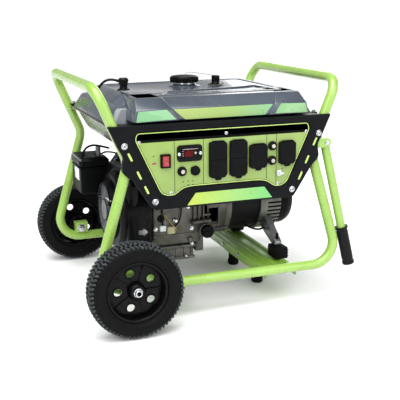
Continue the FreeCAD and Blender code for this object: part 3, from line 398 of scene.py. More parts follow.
mint_vinyl = sliding_vinyl("mint_vinyl", -240, 240, "6FA274", "759F6C")
brow_vinyl = sliding_vinyl("lime_vinyl_brow", -140, 140, "98AB5A", "75AB7A", "8AA855")
name_vinyl = sliding_vinyl("lime_vinyl_lip", -100, 130, "A0B344", "5FAE5E", "82AE5D")
floor_paint = finish("studio_sweep", "F4F4F4", "F1F1F1", 0.9, patch=400, grain=20, depth=0.0)
floor.data.materials.append(floor_paint)
print(len(bpy.data.materials), "materials in all")

# %% [markdown]
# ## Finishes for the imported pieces
#
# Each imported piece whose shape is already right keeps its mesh, and only its material changes. A piece
# that is redrawn later in this file is listed too, so that it has a finish from the start.

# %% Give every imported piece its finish
FINISH_OF = {
    lime_powder: ["left_hoop", "right_hoop", "bottom_rails", "frame_brackets", "front_handle_tube",
                  "rear_handle_tube"],
    lime_shadow: ["engine_crossmember", "alternator_crossmember"],
    rubber: ["rubber_feet", "rubber_mounts", "front_tyre", "rear_tyre"],
    grip_rubber: ["front_handle_grip", "rear_handle_grip", "vent_hose"],
    tank_enamel_painted_sheen: ["tank_upper_shell"],
    pressed_grey: ["tank_lower_shell"],
    zinc_steel: ["tank_bolts", "pivot_bolts", "panel_fasteners", "cap_tether", "filler_neck", "choke_lever",
                 "crankshaft"],
    gloss_plastic: ["fuel_cap", "fuel_gauge", "vent_valve", "front_rim", "rear_rim", "oil_filler_cap",
                    "recoil_cover", "recoil_handle", "digital_meter"],
    panel_abs: ["panel_bezel", "air_cleaner"],
    print_lime: ["panel_fascia"],
    engine_black: ["panel_box", "blower_housing", "alternator_end_cover"],
    lid_plastic: ["panel_sockets", "duplex_cover_left", "duplex_cover_right", "twist_cover_left",
                  "twist_cover_right", "dc_cover"],
    rocker_red: ["switch_rocker"],
    pale_plastic: ["reset_button", "breaker_button_upper", "breaker_button_lower"],
    cast_aluminium: ["crankcase", "cylinder_head", "alternator_adapter", "carburetor", "flywheel"],
    cast_pale: ["alternator_end_bracket"],
    exhaust_black: ["muffler", "valve_cover"],
    lamination: ["stator", "rotor"],
    white_vinyl: ["recoil_rope"],
}
dressed = set()
for material, nodes in FINISH_OF.items():
    for name in nodes:
        slots = frame["nodes"][name].data.materials
        slots.clear()
        slots.append(material)
        dressed.add(name)
print("packed pieces dressed:", len(dressed), "left over:", sorted(set(frame["nodes"]) - dressed))

# %% [markdown]
# ## Tools for making meshes
#
# Most pieces of a machine come off a few processes, and each has its own small tool here: turned pieces
# (`lathe`), flat plates cut from sheet (`plate`), moulded blocks with soft edges (`block`), pressed
# shells drawn as a stack of sections (`loft`) and bent rods or hoses (`wire`).

# %% Finish a piece
SMOOTH_ANGLE = math.radians(38)
BODY_OF = {name: body for body, names in frame["record"]["behaviour"]["bodies"].items() for name in names}


def piece(name, mesh, materials, body="root", stands_for=(), angle=SMOOTH_ANGLE):
    """Makes a mesh drawn in millimetres into a piece of the machine."""
    mesh.transform(Matrix.Scale(MM, 4))
    mesh.name = name
    mesh.shade_smooth()
    mesh.set_sharp_from_angle(angle=angle)
    made = bpy.data.objects.new(name, mesh)
    link(made)
    numbers = [face.material_index for face in mesh.polygons]
    mesh.materials.clear()
    materials = materials if isinstance(materials, (list, tuple)) else [materials]
    for material in materials:
        mesh.materials.append(material)
    mesh.polygons.foreach_set("material_index", [min(n, len(materials) - 1) for n in numbers])
    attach(made, body)
    if stands_for:
        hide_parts(*stands_for)
    return made


def mesh_from(bm):
    """A mesh from a bmesh, with its normals pointing outwards."""
    bmesh.ops.recalc_face_normals(bm, faces=bm.faces)
    made = bpy.data.meshes.new("drawn")
    bm.to_mesh(made)
    bm.free()
    return made


def joined(*meshes):
    """One mesh from several, with each one's material numbers kept."""
    bm = bmesh.new()
    for mesh in meshes:
        bm.from_mesh(mesh)
        bpy.data.meshes.remove(mesh)
    made = bpy.data.meshes.new("joined")
    bm.to_mesh(made)
    bm.free()
    return made


def moved(mesh, at=(0, 0, 0), turn=None):
    """The mesh, turned by a matrix or rotation and then moved."""
    if turn is not None:
        mesh.transform(turn.to_4x4() if hasattr(turn, "to_4x4") else turn)
    mesh.transform(Matrix.Translation(Vector(at)))
    return mesh


def copied(mesh, at=(0, 0, 0), turn=None):
    return moved(mesh.copy(), at, turn)


def paint(mesh, number):
    """Gives every face of a mesh the same material number."""
    for face in mesh.polygons:
        face.material_index = number
    return mesh


TURN_TO = {
    "x": tilt(90, "Y"),
    "y": tilt(-90, "X"),
    "-y": tilt(90, "X"),
    "-x": tilt(-90, "Y"),
    "z": Matrix.Identity(3),
}

# %% Lathe, block, loft and wire


def lathe(profile, aim="z", at=(0, 0, 0), steps=48):
    """Turns an outline of (radius, height) corners about its own axis, then aims and places it."""
    bm = bmesh.new()
    rings = []
    for radius, height in profile:
        if radius < 1e-6:
            rings.append([bm.verts.new((0, 0, height))])
            continue
        turns = [2 * math.pi * i / steps for i in range(steps)]
        rings.append([bm.verts.new((radius * math.cos(t), radius * math.sin(t), height)) for t in turns])
    closed = profile[0] == profile[-1]
    if closed:
        rings[-1] = rings[0]
    for low, high in zip(rings, rings[1:]):
        for i in range(steps):
            after = (i + 1) % steps
            corners = {"low": [low[i % len(low)], low[after % len(low)]],
                       "high": [high[after % len(high)], high[i % len(high)]]}
            loop = list(dict.fromkeys(corners["low"] + corners["high"]))
            if len(loop) > 2:
                bm.faces.new(loop)
    return moved(mesh_from(bm), at, TURN_TO[aim])


def rounded_profile(corners, radius, steps=4):
    """Rounds the inner corners of an open (radius, height) outline."""
    flat = [Vector(c) for c in corners]
    made = [flat[0]]
    for before, corner, after in zip(flat, flat[1:], flat[2:]):
        reach = min(radius, (corner - before).length * 0.45, (after - corner).length * 0.45)
        start = corner + (before - corner).normalized() * reach
        end = corner + (after - corner).normalized() * reach
        for i in range(steps + 1):
            t = i / steps
            made.append((1 - t) ** 2 * start + 2 * t * (1 - t) * corner + t ** 2 * end)
    made.append(flat[-1])
    return [tuple(p) for p in made]


def rounded_loop(corners, radius, steps=5):
    """Rounds every corner of a closed 2-D outline. radius is one number or one for each corner."""
    flat = [Vector(c) for c in corners]
    made = []
    for i, corner in enumerate(flat):
        before, after = flat[i - 1], flat[(i + 1) % len(flat)]
        want = radius[i] if isinstance(radius, (list, tuple)) else radius
        reach = min(want, (corner - before).length * 0.48, (after - corner).length * 0.48)
        start = corner + (before - corner).normalized() * reach
        end = corner + (after - corner).normalized() * reach
        for j in range(steps + 1):
            t = j / steps
            made.append((1 - t) ** 2 * start + 2 * t * (1 - t) * corner + t ** 2 * end)
    return [tuple(p) for p in made]


def rectangle(left, right, low, high):
    return [(left, low), (right, low), (right, high), (left, high)]


def circle(x, z, radius, steps=32):
    turns = [2 * math.pi * i / steps for i in range(steps)]
    return [(x + radius * math.cos(t), z + radius * math.sin(t)) for t in turns]


def block(low, high, soft=2.0, steps=3):
    """A solid block between two corners, with every edge rounded."""
    bm = bmesh.new()
    low, high = Vector(low), Vector(high)
    bmesh.ops.create_cube(bm, size=1.0, matrix=Matrix.Translation((low + high) / 2) @ Matrix.Diagonal(
        (*(high - low), 1)))
    if soft:
        bmesh.ops.bevel(bm, geom=bm.edges, offset=soft, segments=steps, profile=0.5, affect="EDGES",
                        clamp_overlap=True)
    return mesh_from(bm)


def turned(corners, soft, number=0, **where):
    """A lathe piece with its inner corners rounded, in one material number."""
    return paint(lathe(rounded_profile(corners, soft), **where), number)


def loft(sections, capped=True):
    """Joins closed sections of equal point counts into one skin."""
    bm = bmesh.new()
    loops = [[bm.verts.new(p) for p in section] for section in sections]
    for low, high in zip(loops, loops[1:]):
        for i in range(len(low)):
            after = (i + 1) % len(low)
            bm.faces.new((low[i], low[after], high[after], high[i]))
    if capped:
        bm.faces.new(loops[0])
        bm.faces.new(loops[-1])
    return mesh_from(bm)


def curve_mesh(curve):
    """The plain mesh of a curve, after which the curve is thrown away."""
    holder = bpy.data.objects.new("holder", curve)
    link(holder)
    graph = bpy.context.evaluated_depsgraph_get()
    made = bpy.data.meshes.new_from_object(holder.evaluated_get(graph))
    bpy.data.objects.remove(holder)
    bpy.data.curves.remove(curve)
    return made


def plate(loops, low, high, soft=0.6, steps=2, plane="xz"):
    """Sheet cut to an outline with holes. In plane xz it runs from y = low to y = high, in xy from z."""
    curve = bpy.data.curves.new("cut", "CURVE")
    curve.dimensions = "2D"
    curve.fill_mode = "BOTH"
    for loop in loops:
        spline = curve.splines.new("POLY")
        spline.points.add(len(loop) - 1)
        for point, (u, w) in zip(spline.points, loop):
            point.co = (u, w, 0, 1)
        spline.use_cyclic_u = True
    curve.extrude = (high - low) / 2 - soft
    curve.bevel_depth = soft
    curve.bevel_resolution = steps
    curve.offset = -soft
    mesh = curve_mesh(curve)
    mesh.materials.clear()
    bm = bmesh.new()
    bm.from_mesh(mesh)
    bpy.data.meshes.remove(mesh)
    bmesh.ops.remove_doubles(bm, verts=bm.verts, dist=0.005)
    mesh = mesh_from(bm)
    centre = (low + high) / 2
    if plane == "xz":
        return moved(mesh, (0, centre, 0), TURN_TO["-y"])
    if plane == "yz":
        swap = Matrix(((0, 0, 1), (1, 0, 0), (0, 1, 0)))
        return moved(mesh, (centre, 0, 0), swap)
    return moved(mesh, (0, 0, centre))


def cut(corners, radius, low, high, **how):
    """A plate with one round-cornered outline and no holes."""
    return plate([rounded_loop(corners, radius)], low, high, **how)


def wire(points, radius, steps=10):
    """A round wire or hose along a smooth line through given guide points."""
    curve = bpy.data.curves.new("wire", "CURVE")
    curve.dimensions = "3D"
    spline = curve.splines.new("NURBS")
    spline.points.add(len(points) - 1)
    for point, place in zip(spline.points, points):
        point.co = (*place, 1)
    spline.use_endpoint_u = True
    spline.order_u = min(4, len(points))
    spline.resolution_u = 8
    curve.bevel_depth = radius
    curve.bevel_resolution = max(1, steps // 4)
    curve.use_fill_caps = True
    return curve_mesh(curve)


print("tools: lathe, block, loft, plate, wire")

# %% [markdown]
# ## One node tree for everything that repeats
#
# Fins, tread blocks, ribs, vents and screws are the same small piece set again and again along a line or
# round an axis. A small **Geometry Nodes** tree does that: copy number *i* is moved by *i* steps and
# turned by *i* turns. The copies are made real and given their material at the end of the tree, and the
# result is turned into a plain mesh.

# %% The repeating tree
def repeating_tree():
    tree = bpy.data.node_groups.new("set_again_and_again", "GeometryNodeTree")
    face = tree.interface
    face.new_socket("Geometry", in_out="OUTPUT", socket_type="NodeSocketGeometry")
    for name, kind in (("Seed piece", "Object"), ("Copies", "Int"), ("Step", "Vector"), ("Turn", "Vector"),
                       ("Finish", "Material")):
        face.new_socket(name, in_out="INPUT", socket_type=f"NodeSocket{kind}")
    given = tree.nodes.new("NodeGroupInput").outputs
    number = node(tree, "GeometryNodeInputIndex").outputs[0]
    place = node(tree, "ShaderNodeVectorMath", {0: given["Step"], 3: number}, operation="SCALE").outputs[0]
    angle = node(tree, "ShaderNodeVectorMath", {0: given["Turn"], 3: number}, operation="SCALE").outputs[0]
    points = node(tree, "GeometryNodePoints", {"Count": given["Copies"], "Position": place}).outputs[0]
    seed = node(tree, "GeometryNodeObjectInfo", {"Object": given["Seed piece"]}).outputs["Geometry"]
    copies = node(tree, "GeometryNodeInstanceOnPoints", {"Points": points, "Instance": seed,
                                                         "Rotation": angle})
    real = node(tree, "GeometryNodeRealizeInstances", {"Geometry": copies.outputs[0]}).outputs[0]
    done = node(tree, "GeometryNodeSetMaterial", {"Geometry": real, "Material": given["Finish"]}).outputs[0]
    node(tree, "NodeGroupOutput", {"Geometry": done})
    return tree


REPEATING = repeating_tree()
INPUT_ID = {item.name: item.identifier for item in REPEATING.interface.items_tree if item.in_out == "INPUT"}


def repeated(seed, copies, step=(0, 0, 0), turn=(0, 0, 0), material=None):
    """The seed mesh set again and again, as one plain mesh. Angles are in degrees."""
    pattern = bpy.data.objects.new("seed", seed)
    holder = bpy.data.objects.new("holder", bpy.data.meshes.new("holder"))
    link(pattern)
    link(holder)
    modifier = holder.modifiers.new("repeat", "NODES")
    modifier.node_group = REPEATING
    settings = {"Seed piece": pattern, "Copies": copies, "Step": step,
                "Turn": tuple(math.radians(a) for a in turn), "Finish": material or zinc_steel}
    for name, value in settings.items():
        modifier[INPUT_ID[name]] = value
    graph = bpy.context.evaluated_depsgraph_get()
    made = bpy.data.meshes.new_from_object(holder.evaluated_get(graph))
    made.materials.clear()
    for thing in (holder, pattern):
        bpy.data.objects.remove(thing)
    bpy.data.meshes.remove(seed)
    return made


def ring_of(seed, copies, aim="z", at=(0, 0, 0), material=None):
    """The seed set round an axis."""
    return moved(repeated(seed, copies, turn=(0, 0, 360 / copies), material=material), at, TURN_TO[aim])


print("inputs of the repeating tree:", list(INPUT_ID))

# %% [markdown]
# ## Wheels
#
# A tyre is one turned shape: a round shoulder, a bulging side wall with two thin moulded lines, and a
# crown. Its zigzag tread is rubber blocks set round the crown, five rows deep, every other row leaning
# the other way. One short run of blocks is drawn and the repeating tree sets it round the tyre.
# The rim is moulded nylon: a barrel, a dished face with five ribs and five round windows, and a hub.

# %% Tyre and tread
WHEEL_LOW, WHEEL_HIGH = span("front_tyre")
WHEEL_RADIUS = (WHEEL_HIGH.x - WHEEL_LOW.x) / 2
TYRE_HALF = (WHEEL_HIGH.y - WHEEL_LOW.y) / 2
TREAD_DEEP = 5
TREAD_PITCHES = 64
BEAD_RADIUS = 80


def tyre_mesh():
    crown = WHEEL_RADIUS - TREAD_DEEP
    profile = [(BEAD_RADIUS, -TYRE_HALF + 12), (BEAD_RADIUS + 3, -TYRE_HALF + 5), (BEAD_RADIUS + 9,
        -TYRE_HALF + 2.5), (BEAD_RADIUS + 10, -TYRE_HALF + 1.2), (BEAD_RADIUS + 12, -TYRE_HALF + 1.2),
               (BEAD_RADIUS + 13, -TYRE_HALF + 1.6), (BEAD_RADIUS + 22, -TYRE_HALF), (BEAD_RADIUS + 30,
        -TYRE_HALF + 1.5), (BEAD_RADIUS + 31, -TYRE_HALF + 0.8), (BEAD_RADIUS + 32.5, -TYRE_HALF + 1.2),
               (BEAD_RADIUS + 34, -TYRE_HALF + 3.5), (crown - 5, -TYRE_HALF + 8), (crown - 1,
        -TYRE_HALF + 14), (crown, -TYRE_HALF + 22)]
    mirrored = [(radius, -height) for radius, height in reversed(profile)]
    tread_bed = profile + [(crown + 0.5, 0)] + mirrored
    return lathe(tread_bed + [(BEAD_RADIUS, -TYRE_HALF + 12)], steps=96)


def tread_seed():
    """One pitch of tread: five short blocks side by side at +X of the axis, leaning left and right."""
    blocks = []
    rows = [(-25, 30), (-13, -32), (0, 32), (13, -32), (25, 30)]
    for height, lean in rows:
        reach = WHEEL_RADIUS - 0.8 - (height / 12) ** 2
        bar = block((reach - TREAD_DEEP - 2, -2.7, -7.2), (reach, 2.7, 7.2), soft=0.8, steps=1)
        blocks.append(moved(bar, (0, 0, height), tilt(lean, "X")))
    return joined(*blocks)


tyre = tyre_mesh()
tread = ring_of(tread_seed(), TREAD_PITCHES, material=tread_rubber)
print("tread pieces:", TREAD_PITCHES, "faces:", len(tread.polygons))

# %% Rim and hub
RIM_RADIUS = 79
RIM_HALF = 27
WINDOW_PITCH = 48
WINDOW_RADIUS = 11
WEB_FRONT = 8


def rim_mesh(outward):
    """The rim about its own Z, with its dished face towards outward (+1 or -1)."""
    barrel = rounded_profile([
        (RIM_RADIUS - 7, -RIM_HALF + 3), (RIM_RADIUS - 4, -RIM_HALF - 1), (RIM_RADIUS + 1.5, -RIM_HALF - 1),
        (RIM_RADIUS + 1.5, -RIM_HALF + 3), (RIM_RADIUS - 1, -RIM_HALF + 7), (RIM_RADIUS - 1, RIM_HALF - 7),
        (RIM_RADIUS + 1.5, RIM_HALF - 3), (RIM_RADIUS + 1.5, RIM_HALF + 1), (RIM_RADIUS - 4, RIM_HALF + 1),
        (RIM_RADIUS - 7, RIM_HALF - 3),
    ], 1.6)
    parts = [lathe(barrel + [barrel[0]], steps=72)]
    windows = [circle(WINDOW_PITCH * math.cos(t), WINDOW_PITCH * math.sin(t), WINDOW_RADIUS, 28)
               for t in (math.radians(72 * i + 36) for i in range(5))]
    face = plate([circle(0, 0, RIM_RADIUS - 4, 72), *windows], WEB_FRONT - 7, WEB_FRONT, soft=1.8, plane="xy")
    rings = [turned([(WINDOW_RADIUS - 0.5, WEB_FRONT - 2), (WINDOW_RADIUS - 0.5, WEB_FRONT + 2),
                     (WINDOW_RADIUS + 2.5, WEB_FRONT + 2), (WINDOW_RADIUS + 4, WEB_FRONT - 2)], 0.9,
                    at=(WINDOW_PITCH * math.cos(t), WINDOW_PITCH * math.sin(t), 0), steps=28)
             for t in (math.radians(72 * i + 36) for i in range(5))]
    rib = block((24, -2.5, WEB_FRONT - 3), (RIM_RADIUS - 8, 2.5, WEB_FRONT + 4), soft=1.2, steps=2)
    ribs = ring_of(rib, 5)
    hub = rounded_profile([(9, -28), (19, -28), (21, -24), (21, WEB_FRONT), (24, WEB_FRONT + 2), (23,
        WEB_FRONT + 12), (17, WEB_FRONT + 20), (10, WEB_FRONT + 20), (9, WEB_FRONT + 14)], 2)
    parts += [face, ribs, lathe(hub + [hub[0]], steps=48), *rings]
    rim = joined(*parts)
    return moved(rim, turn=tilt(0 if outward > 0 else 180, "X"))


for name, outward in (("front", -1), ("rear", 1)):
    centre = middle(f"{name}_tyre")
    body = f"{name}_wheel"
    piece(f"{name}_tyre_moulded", copied(tyre, centre, TURN_TO["y"]), rubber, body, [f"{name}_tyre"])
    piece(f"{name}_tread_blocks", copied(tread, centre, TURN_TO["y"]), tread_rubber, body)
    rim = moved(rim_mesh(outward), centre, TURN_TO["y"])
    piece(f"{name}_rim_moulded", rim, gloss_plastic, body, [f"{name}_rim"])
for mesh in (tyre, tread):
    bpy.data.meshes.remove(mesh)
print("wheels at x =", round(centre.x), "radius", round(WHEEL_RADIUS), "mm")

# %% [markdown]
# ## Fuel tank
#
# The tank is two shells pressed from sheet steel and closed together at a flange. A press can't make a
# sharp edge, so the shells are lofted through rounded rectangles that shrink as they rise: a steep skirt,
# a narrow shelf, a second slope and a flat top with a low raised border.
# A broad nose hangs over the panel. Its two ends stand a little proud of its middle, and each carries a
# blank vinyl strip. A shallow channel runs along the top, behind the middle of the nose.

# %% The two pressed shells
SHELL_LOW, SHELL_HIGH = span("tank_upper_shell")
FLANGE_Z = SHELL_LOW.z
TOP_Z = SHELL_HIGH.z
FLANGE_X = SHELL_HIGH.x
FLANGE_Y = SHELL_HIGH.y


def rounded_section(half_x, half_y, z, corner, steps=7):
    """A horizontal rectangle with round corners, as a closed loop of points."""
    points = []
    for quarter in range(4):
        sign_x = 1 if quarter in (0, 3) else -1
        sign_y = 1 if quarter in (0, 1) else -1
        for i in range(steps + 1):
            turn = math.radians(90 * quarter + 90 * i / steps)
            points.append((sign_x * (half_x - corner) + corner * math.cos(turn),
                           sign_y * (half_y - corner) + corner * math.sin(turn), z))
    return points


# how far each section lies in from the flange, how high it is above it, and its corner radius
UPPER_STEPS = [
    (0, 0, 22), (1.5, 4, 22), (4, 10, 22), (17, 34, 24), (20, 39, 24), (24, 41.5, 24), (31, 42.5, 22),
    (35, 43.5, 20), (38, 46, 20), (55, 62, 24), (58, 65, 24), (63, 67.5, 24), (70, 69, 24), (76, 69, 22),
    (78.5, 68.2, 20), (81, 66.6, 20), (86, 66, 20),
]
LOWER_STEPS = [
    (0, 0, 20), (0, -3, 20), (6, -5, 20), (9, -9, 22), (28, -48, 26), (32, -56, 28), (38, -64, 30),
    (46, -70, 30), (58, -74, 30), (80, -75, 26),
]
RECESS_TOP = TOP_Z - 3.0


def pressed(steps, grow=0.0):
    sections = [rounded_section(FLANGE_X + grow - inset, FLANGE_Y + grow - inset, FLANGE_Z + rise, corner)
                for inset, rise, corner in steps]
    return loft(sections)


upper = pressed(UPPER_STEPS)
lower = pressed(LOWER_STEPS)
flange_edge = [rounded_section(FLANGE_X + out, FLANGE_Y + out, FLANGE_Z + z, 26) for out, z in ((-6, -3.2),
    (6, -3.2), (7.6, -2.4), (8.2, -1.2), (7.6, 0.2), (6, 0.9), (-6, 0.9))]
flange = loft(flange_edge)
print("tank top at", round(TOP_Z), "mm, flange at", round(FLANGE_Z), "mm")

# %% The nose
NOSE_FRONT = SHELL_LOW.y
NOSE_HALF = 250
NOSE_BROW = TOP_Z - 28
NOSE_UNDER = FLANGE_Z + 10
STEP_BACK = 5
DIVIDE_LOW = 136
DIVIDE_HIGH = 158


def nose_block(x_low, x_high, front, soft):
    """A stretch of nose. x_low and x_high give its ends at the underside and at the top."""
    bm = bmesh.new()
    section = [(front, NOSE_UNDER), (front, NOSE_BROW), (front + 37, TOP_Z - 0.4), (-150, TOP_Z - 0.4),
               (-150, NOSE_UNDER)]
    ends = []
    for under, top in (x_low, x_high):
        ring = []
        for y, z in section:
            rise = (z - NOSE_UNDER) / (TOP_Z - NOSE_UNDER)
            ring.append(bm.verts.new((under + (top - under) * rise, y, z)))
        ends.append(ring)
    for i in range(len(section)):
        after = (i + 1) % len(section)
        bm.faces.new((ends[0][i], ends[0][after], ends[1][after], ends[1][i]))
    bm.faces.new(ends[0])
    bm.faces.new(ends[1])
    bmesh.ops.recalc_face_normals(bm, faces=bm.faces)
    bmesh.ops.bevel(bm, geom=bm.edges, offset=soft, segments=4, profile=0.5, affect="EDGES",
                    clamp_overlap=True)
    return mesh_from(bm)


nose = joined(
    nose_block((-NOSE_HALF + 8, -NOSE_HALF + 20), (NOSE_HALF - 8, NOSE_HALF - 20), NOSE_FRONT + STEP_BACK, 6),
    nose_block((-NOSE_HALF, -NOSE_HALF + 14), (-DIVIDE_LOW + 14, -DIVIDE_HIGH), NOSE_FRONT, 5),
    nose_block((DIVIDE_LOW - 6, DIVIDE_HIGH + 4), (NOSE_HALF, NOSE_HALF - 14), NOSE_FRONT, 5),
)
# a raised frame on the tank's top leaves a long shallow channel behind the nose
channel_rim = plate([rounded_loop([(-158, -214), (206, -214), (186, -62), (128, -82), (-112, -128)], 14),
                     rounded_loop([(-146, -203), (192, -203), (178, -76), (130, -94), (-108, -142)], 10)],
                    RECESS_TOP - 1, TOP_Z + 1.6, soft=1.2, steps=3, plane="xy")
piece("tank_upper_pressed", joined(upper, nose, channel_rim), tank_enamel_painted_sheen, stands_for=["tank_upper_shell"],
      angle=math.radians(50))
piece("tank_lower_pressed", joined(lower, flange), tank_under, stands_for=["tank_lower_shell"],
      angle=math.radians(50))
print("nose from x", -NOSE_HALF, "to", NOSE_HALF, "mm")

# %% Blank vinyl strips on the nose
VINYL = 0.5


def strip(name, corners, front, material, soft=0.2, corner=2.5):
    """A blank vinyl strip on an upright face, given by its corners in X and Z."""
    outline = rounded_loop(corners, corner)
    return piece(name, plate([outline], front - VINYL, front + 0.6, soft=soft, steps=1), material)


strip("brow_strip_left", [(-241, 543), (-236, 570), (-159, 572), (-133, 546)], NOSE_FRONT, mint_vinyl)
strip("brow_strip_right", [(147, 546), (164, 572), (238, 570), (245, 544)], NOSE_FRONT, mint_vinyl)
strip("brow_strip_middle", [(-108, 543.5), (-140, 571), (142, 571), (120, 543.5)], NOSE_FRONT + STEP_BACK,
      brow_vinyl)
channel_strip = cut([(-70, -172), (150, -150), (150, -138), (-70, -160)], 3, RECESS_TOP - 0.4,
                    RECESS_TOP + 1.2, soft=0.2, steps=1, plane="xy")
piece("channel_strip", channel_strip, trim_lime)
print("channel strip in the tank's top, three strips on the nose")

# %% [markdown]
# ## What stands on the tank
#
# The fuel cap is moulded nylon with gripping ribs set round its skirt by the repeating tree. The gauge
# and the vent valve are stepped turned bodies on small base plates. A thin steel wire keeps the cap
# with the tank; it is drawn in one fixed shape and left unattached to either body.

# %% Cap, gauge, vent, hose and tether
CAP_LOW, CAP_HIGH = span("fuel_cap")
CAP = middle("fuel_cap")
CAP_RADIUS = (CAP_HIGH.x - CAP_LOW.x) / 2
CAP_RIBS = 40
cap_profile = rounded_profile([(0, 6), (30.3, 6), (30.3, 0), (CAP_RADIUS - 2.4, 0), (CAP_RADIUS - 1.8, 14),
                               (CAP_RADIUS - 4.5, 18.2), (CAP_RADIUS - 12, 19.4), (0, 18.8)], 1.8)
cap_rib = block((CAP_RADIUS - 4.5, -1.5, 0.8), (CAP_RADIUS - 0.3, 1.5, 15), soft=0.9, steps=2)
cap_grip = block((-26, -4.5, 17), (26, 4.5, 20), soft=1.4, steps=2)
cap_mesh = joined(lathe(cap_profile, steps=72), ring_of(cap_rib, CAP_RIBS), cap_grip)
piece("fuel_cap_ribbed", moved(cap_mesh, (CAP.x, CAP.y, CAP_LOW.z)), gloss_plastic, "fuel_cap", ["fuel_cap"])

collar = turned([(31, 0), (47, 0), (47, 1.5), (36, 3.2), (33, 6.5), (31, 6.5)], 0.8, steps=56, at=(CAP.x,
    CAP.y, TOP_Z - 3.2))
piece("filler_collar", collar, tank_enamel_painted_sheen)

gauge_low, gauge_high = span("fuel_gauge")
gauge = middle("fuel_gauge")
gauge_tall = gauge_high.z - gauge_low.z
gauge_body = turned([(0, 0), (21, 0), (21, 2), (13, 3.6), (12, 6), (11, 7), (11, gauge_tall - 8), (12.4,
    gauge_tall - 7), (12.4, gauge_tall - 2.5), (9.5, gauge_tall), (0, gauge_tall)], 1.0, at=(gauge.x,
    gauge.y, gauge_low.z))
gauge_rib = block((10.2, -0.9, 8), (12.2, 0.9, gauge_tall - 8), soft=0.4, steps=1)
gauge_ribs = ring_of(gauge_rib, 18, at=(gauge.x, gauge.y, gauge_low.z))
ears = cut([(-30, -7), (30, -7), (30, 7), (-30, 7)], 6.5, 0, 2.4, soft=0.6, plane="xy")
moved(ears, (gauge.x, gauge.y, gauge_low.z), tilt(20, "Z"))
piece("fuel_gauge_moulded", joined(gauge_body, gauge_ribs, ears), gloss_plastic, stands_for=["fuel_gauge"])

vent_low, vent_high = span("vent_valve")
vent = middle("vent_valve")
vent_tall = vent_high.z - vent_low.z
vent_body = turned([(0, 0), (18, 0), (18, 3), (12, 4.5), (11, 8), (11, 15), (13.5, 16), (14, 17), (14, 20),
                    (12.6, 20.6), (12.6, 22), (14, 22.6), (14, vent_tall - 4), (11, vent_tall), (0,
    vent_tall)], 0.9, at=(vent.x, vent.y, vent_low.z))
vent_rib = block((12.6, -1.1, 23), (14.6, 1.1, vent_tall - 4), soft=0.5, steps=1)
spout = turned([(0, 0), (4.6, 0), (4.6, 3), (3.2, 4), (4.2, 7), (0, 9)], 0.6, aim="-x", at=(vent.x - 12,
    vent.y, vent_high.z - 8), steps=20)
piece("vent_valve_moulded", joined(vent_body, ring_of(vent_rib, 12, at=(vent.x, vent.y, vent_low.z)), spout),
      gloss_plastic, stands_for=["vent_valve"])

HOSE_RADIUS = 3.5
hose_route = [(vent.x - 14.5, vent.y, vent_high.z - 8), (vent.x - 30, vent.y + 3, vent_high.z - 3),
              (vent.x - 48, vent.y + 10, vent_high.z - 4), (vent.x - 62, vent.y + 21, TOP_Z + 14),
              (vent.x - 72, vent.y + 32, TOP_Z - 6), (vent.x - 79, vent.y + 41, FLANGE_Z + 42)]
piece("vent_hose_smooth", wire(hose_route, HOSE_RADIUS, steps=16), grip_rubber, stands_for=["vent_hose"])

TETHER = 0.9
tether_route = [(CAP.x + 4, CAP.y, CAP_HIGH.z - 1), (CAP.x + 4, CAP.y, CAP_HIGH.z + 5), (CAP.x + 8,
    CAP.y - 1, CAP_HIGH.z + 9), (CAP.x + 26, CAP.y - 6, CAP_HIGH.z + 8), (gauge.x - 30, gauge.y + 5,
    gauge_high.z + 4), (gauge.x - 12, gauge.y + 2, gauge_high.z + 0.5), (gauge.x - 4, gauge.y,
    gauge_high.z - 0.6)]
tether = piece("cap_tether_wire", wire(tether_route, TETHER), zinc_steel, stands_for=["cap_tether"])
tether.parent = None
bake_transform(tether)
print("cap ribs:", CAP_RIBS, "tether ends on the gauge at x", round(gauge.x))

# %% Rubber bushes and bolts at the tank's corners
bush_high = span("tank_bolts")[1]
bolt_parts, bush_parts = [], []
for side in (-1, 1):
    for end in (-1, 1):
        at = (end * (bush_high.x - 9), side * (bush_high.y - 9), FLANGE_Z)
        bush = turned([(0, -9), (9.5, -9), (10.5, -6), (8, -4), (8, -1), (10.5, 1), (10.5, 4), (8, 6), (0,
            6)], 0.8, at=at, steps=28)
        bush_parts.append(paint(bush, 0))
        washer = lathe([(0, 6), (8, 6), (8, 7.4), (0, 7.4)], at=at, steps=24)
        hexagon = turned([(0, 7.4), (6, 7.4), (6, 11.6), (5, 12.2), (0, 12.2)], 0.4, at=at, steps=6)
        bolt_parts += [paint(washer, 1), paint(hexagon, 1)]
piece("tank_corner_mounts", joined(*bush_parts, *bolt_parts), [rubber, zinc_steel], stands_for=["tank_bolts"])
print("tank corners bolted:", len(bush_parts))

# %% [markdown]
# ## Control panel
#
# The surround is one moulded frame with a window for the printed face, six slanted slots and a lip below.
# A filled 2-D curve makes such a plate in one go: the outline and its holes are closed loops, and the
# curve's own extrusion and bevel give the thickness and the softened edge.
# The printed face is built in layers as a screen printer builds it: a black sheet, a thin lime line that
# follows the edge, and the olive lime field, which stops short of the black band along the top.

# %% Panel outlines
BEZEL_LOW, BEZEL_HIGH = span("panel_bezel")
BEZEL_FRONT = BEZEL_LOW.y
FACE = span("panel_fascia")[0].y
BEZEL_HALF = [(312, 537), (289.5, 484), (273.5, 455), (280.5, 418), (258.5, 400), (208.5, 322.5), (199.5,
    312)]
BEZEL_ROUND = [3, 14, 10, 14, 16, 14, 6]
FASCIA_HALF = [(244, 519), (251, 500), (183, 354), (165, 345), (143, 345), (120, 362), (97, 366)]
FASCIA_ROUND = [16, 16, 18, 12, 12, 14, 14]
BAND_LOW = 491
BEZEL_LEFT_EXTRA = 5


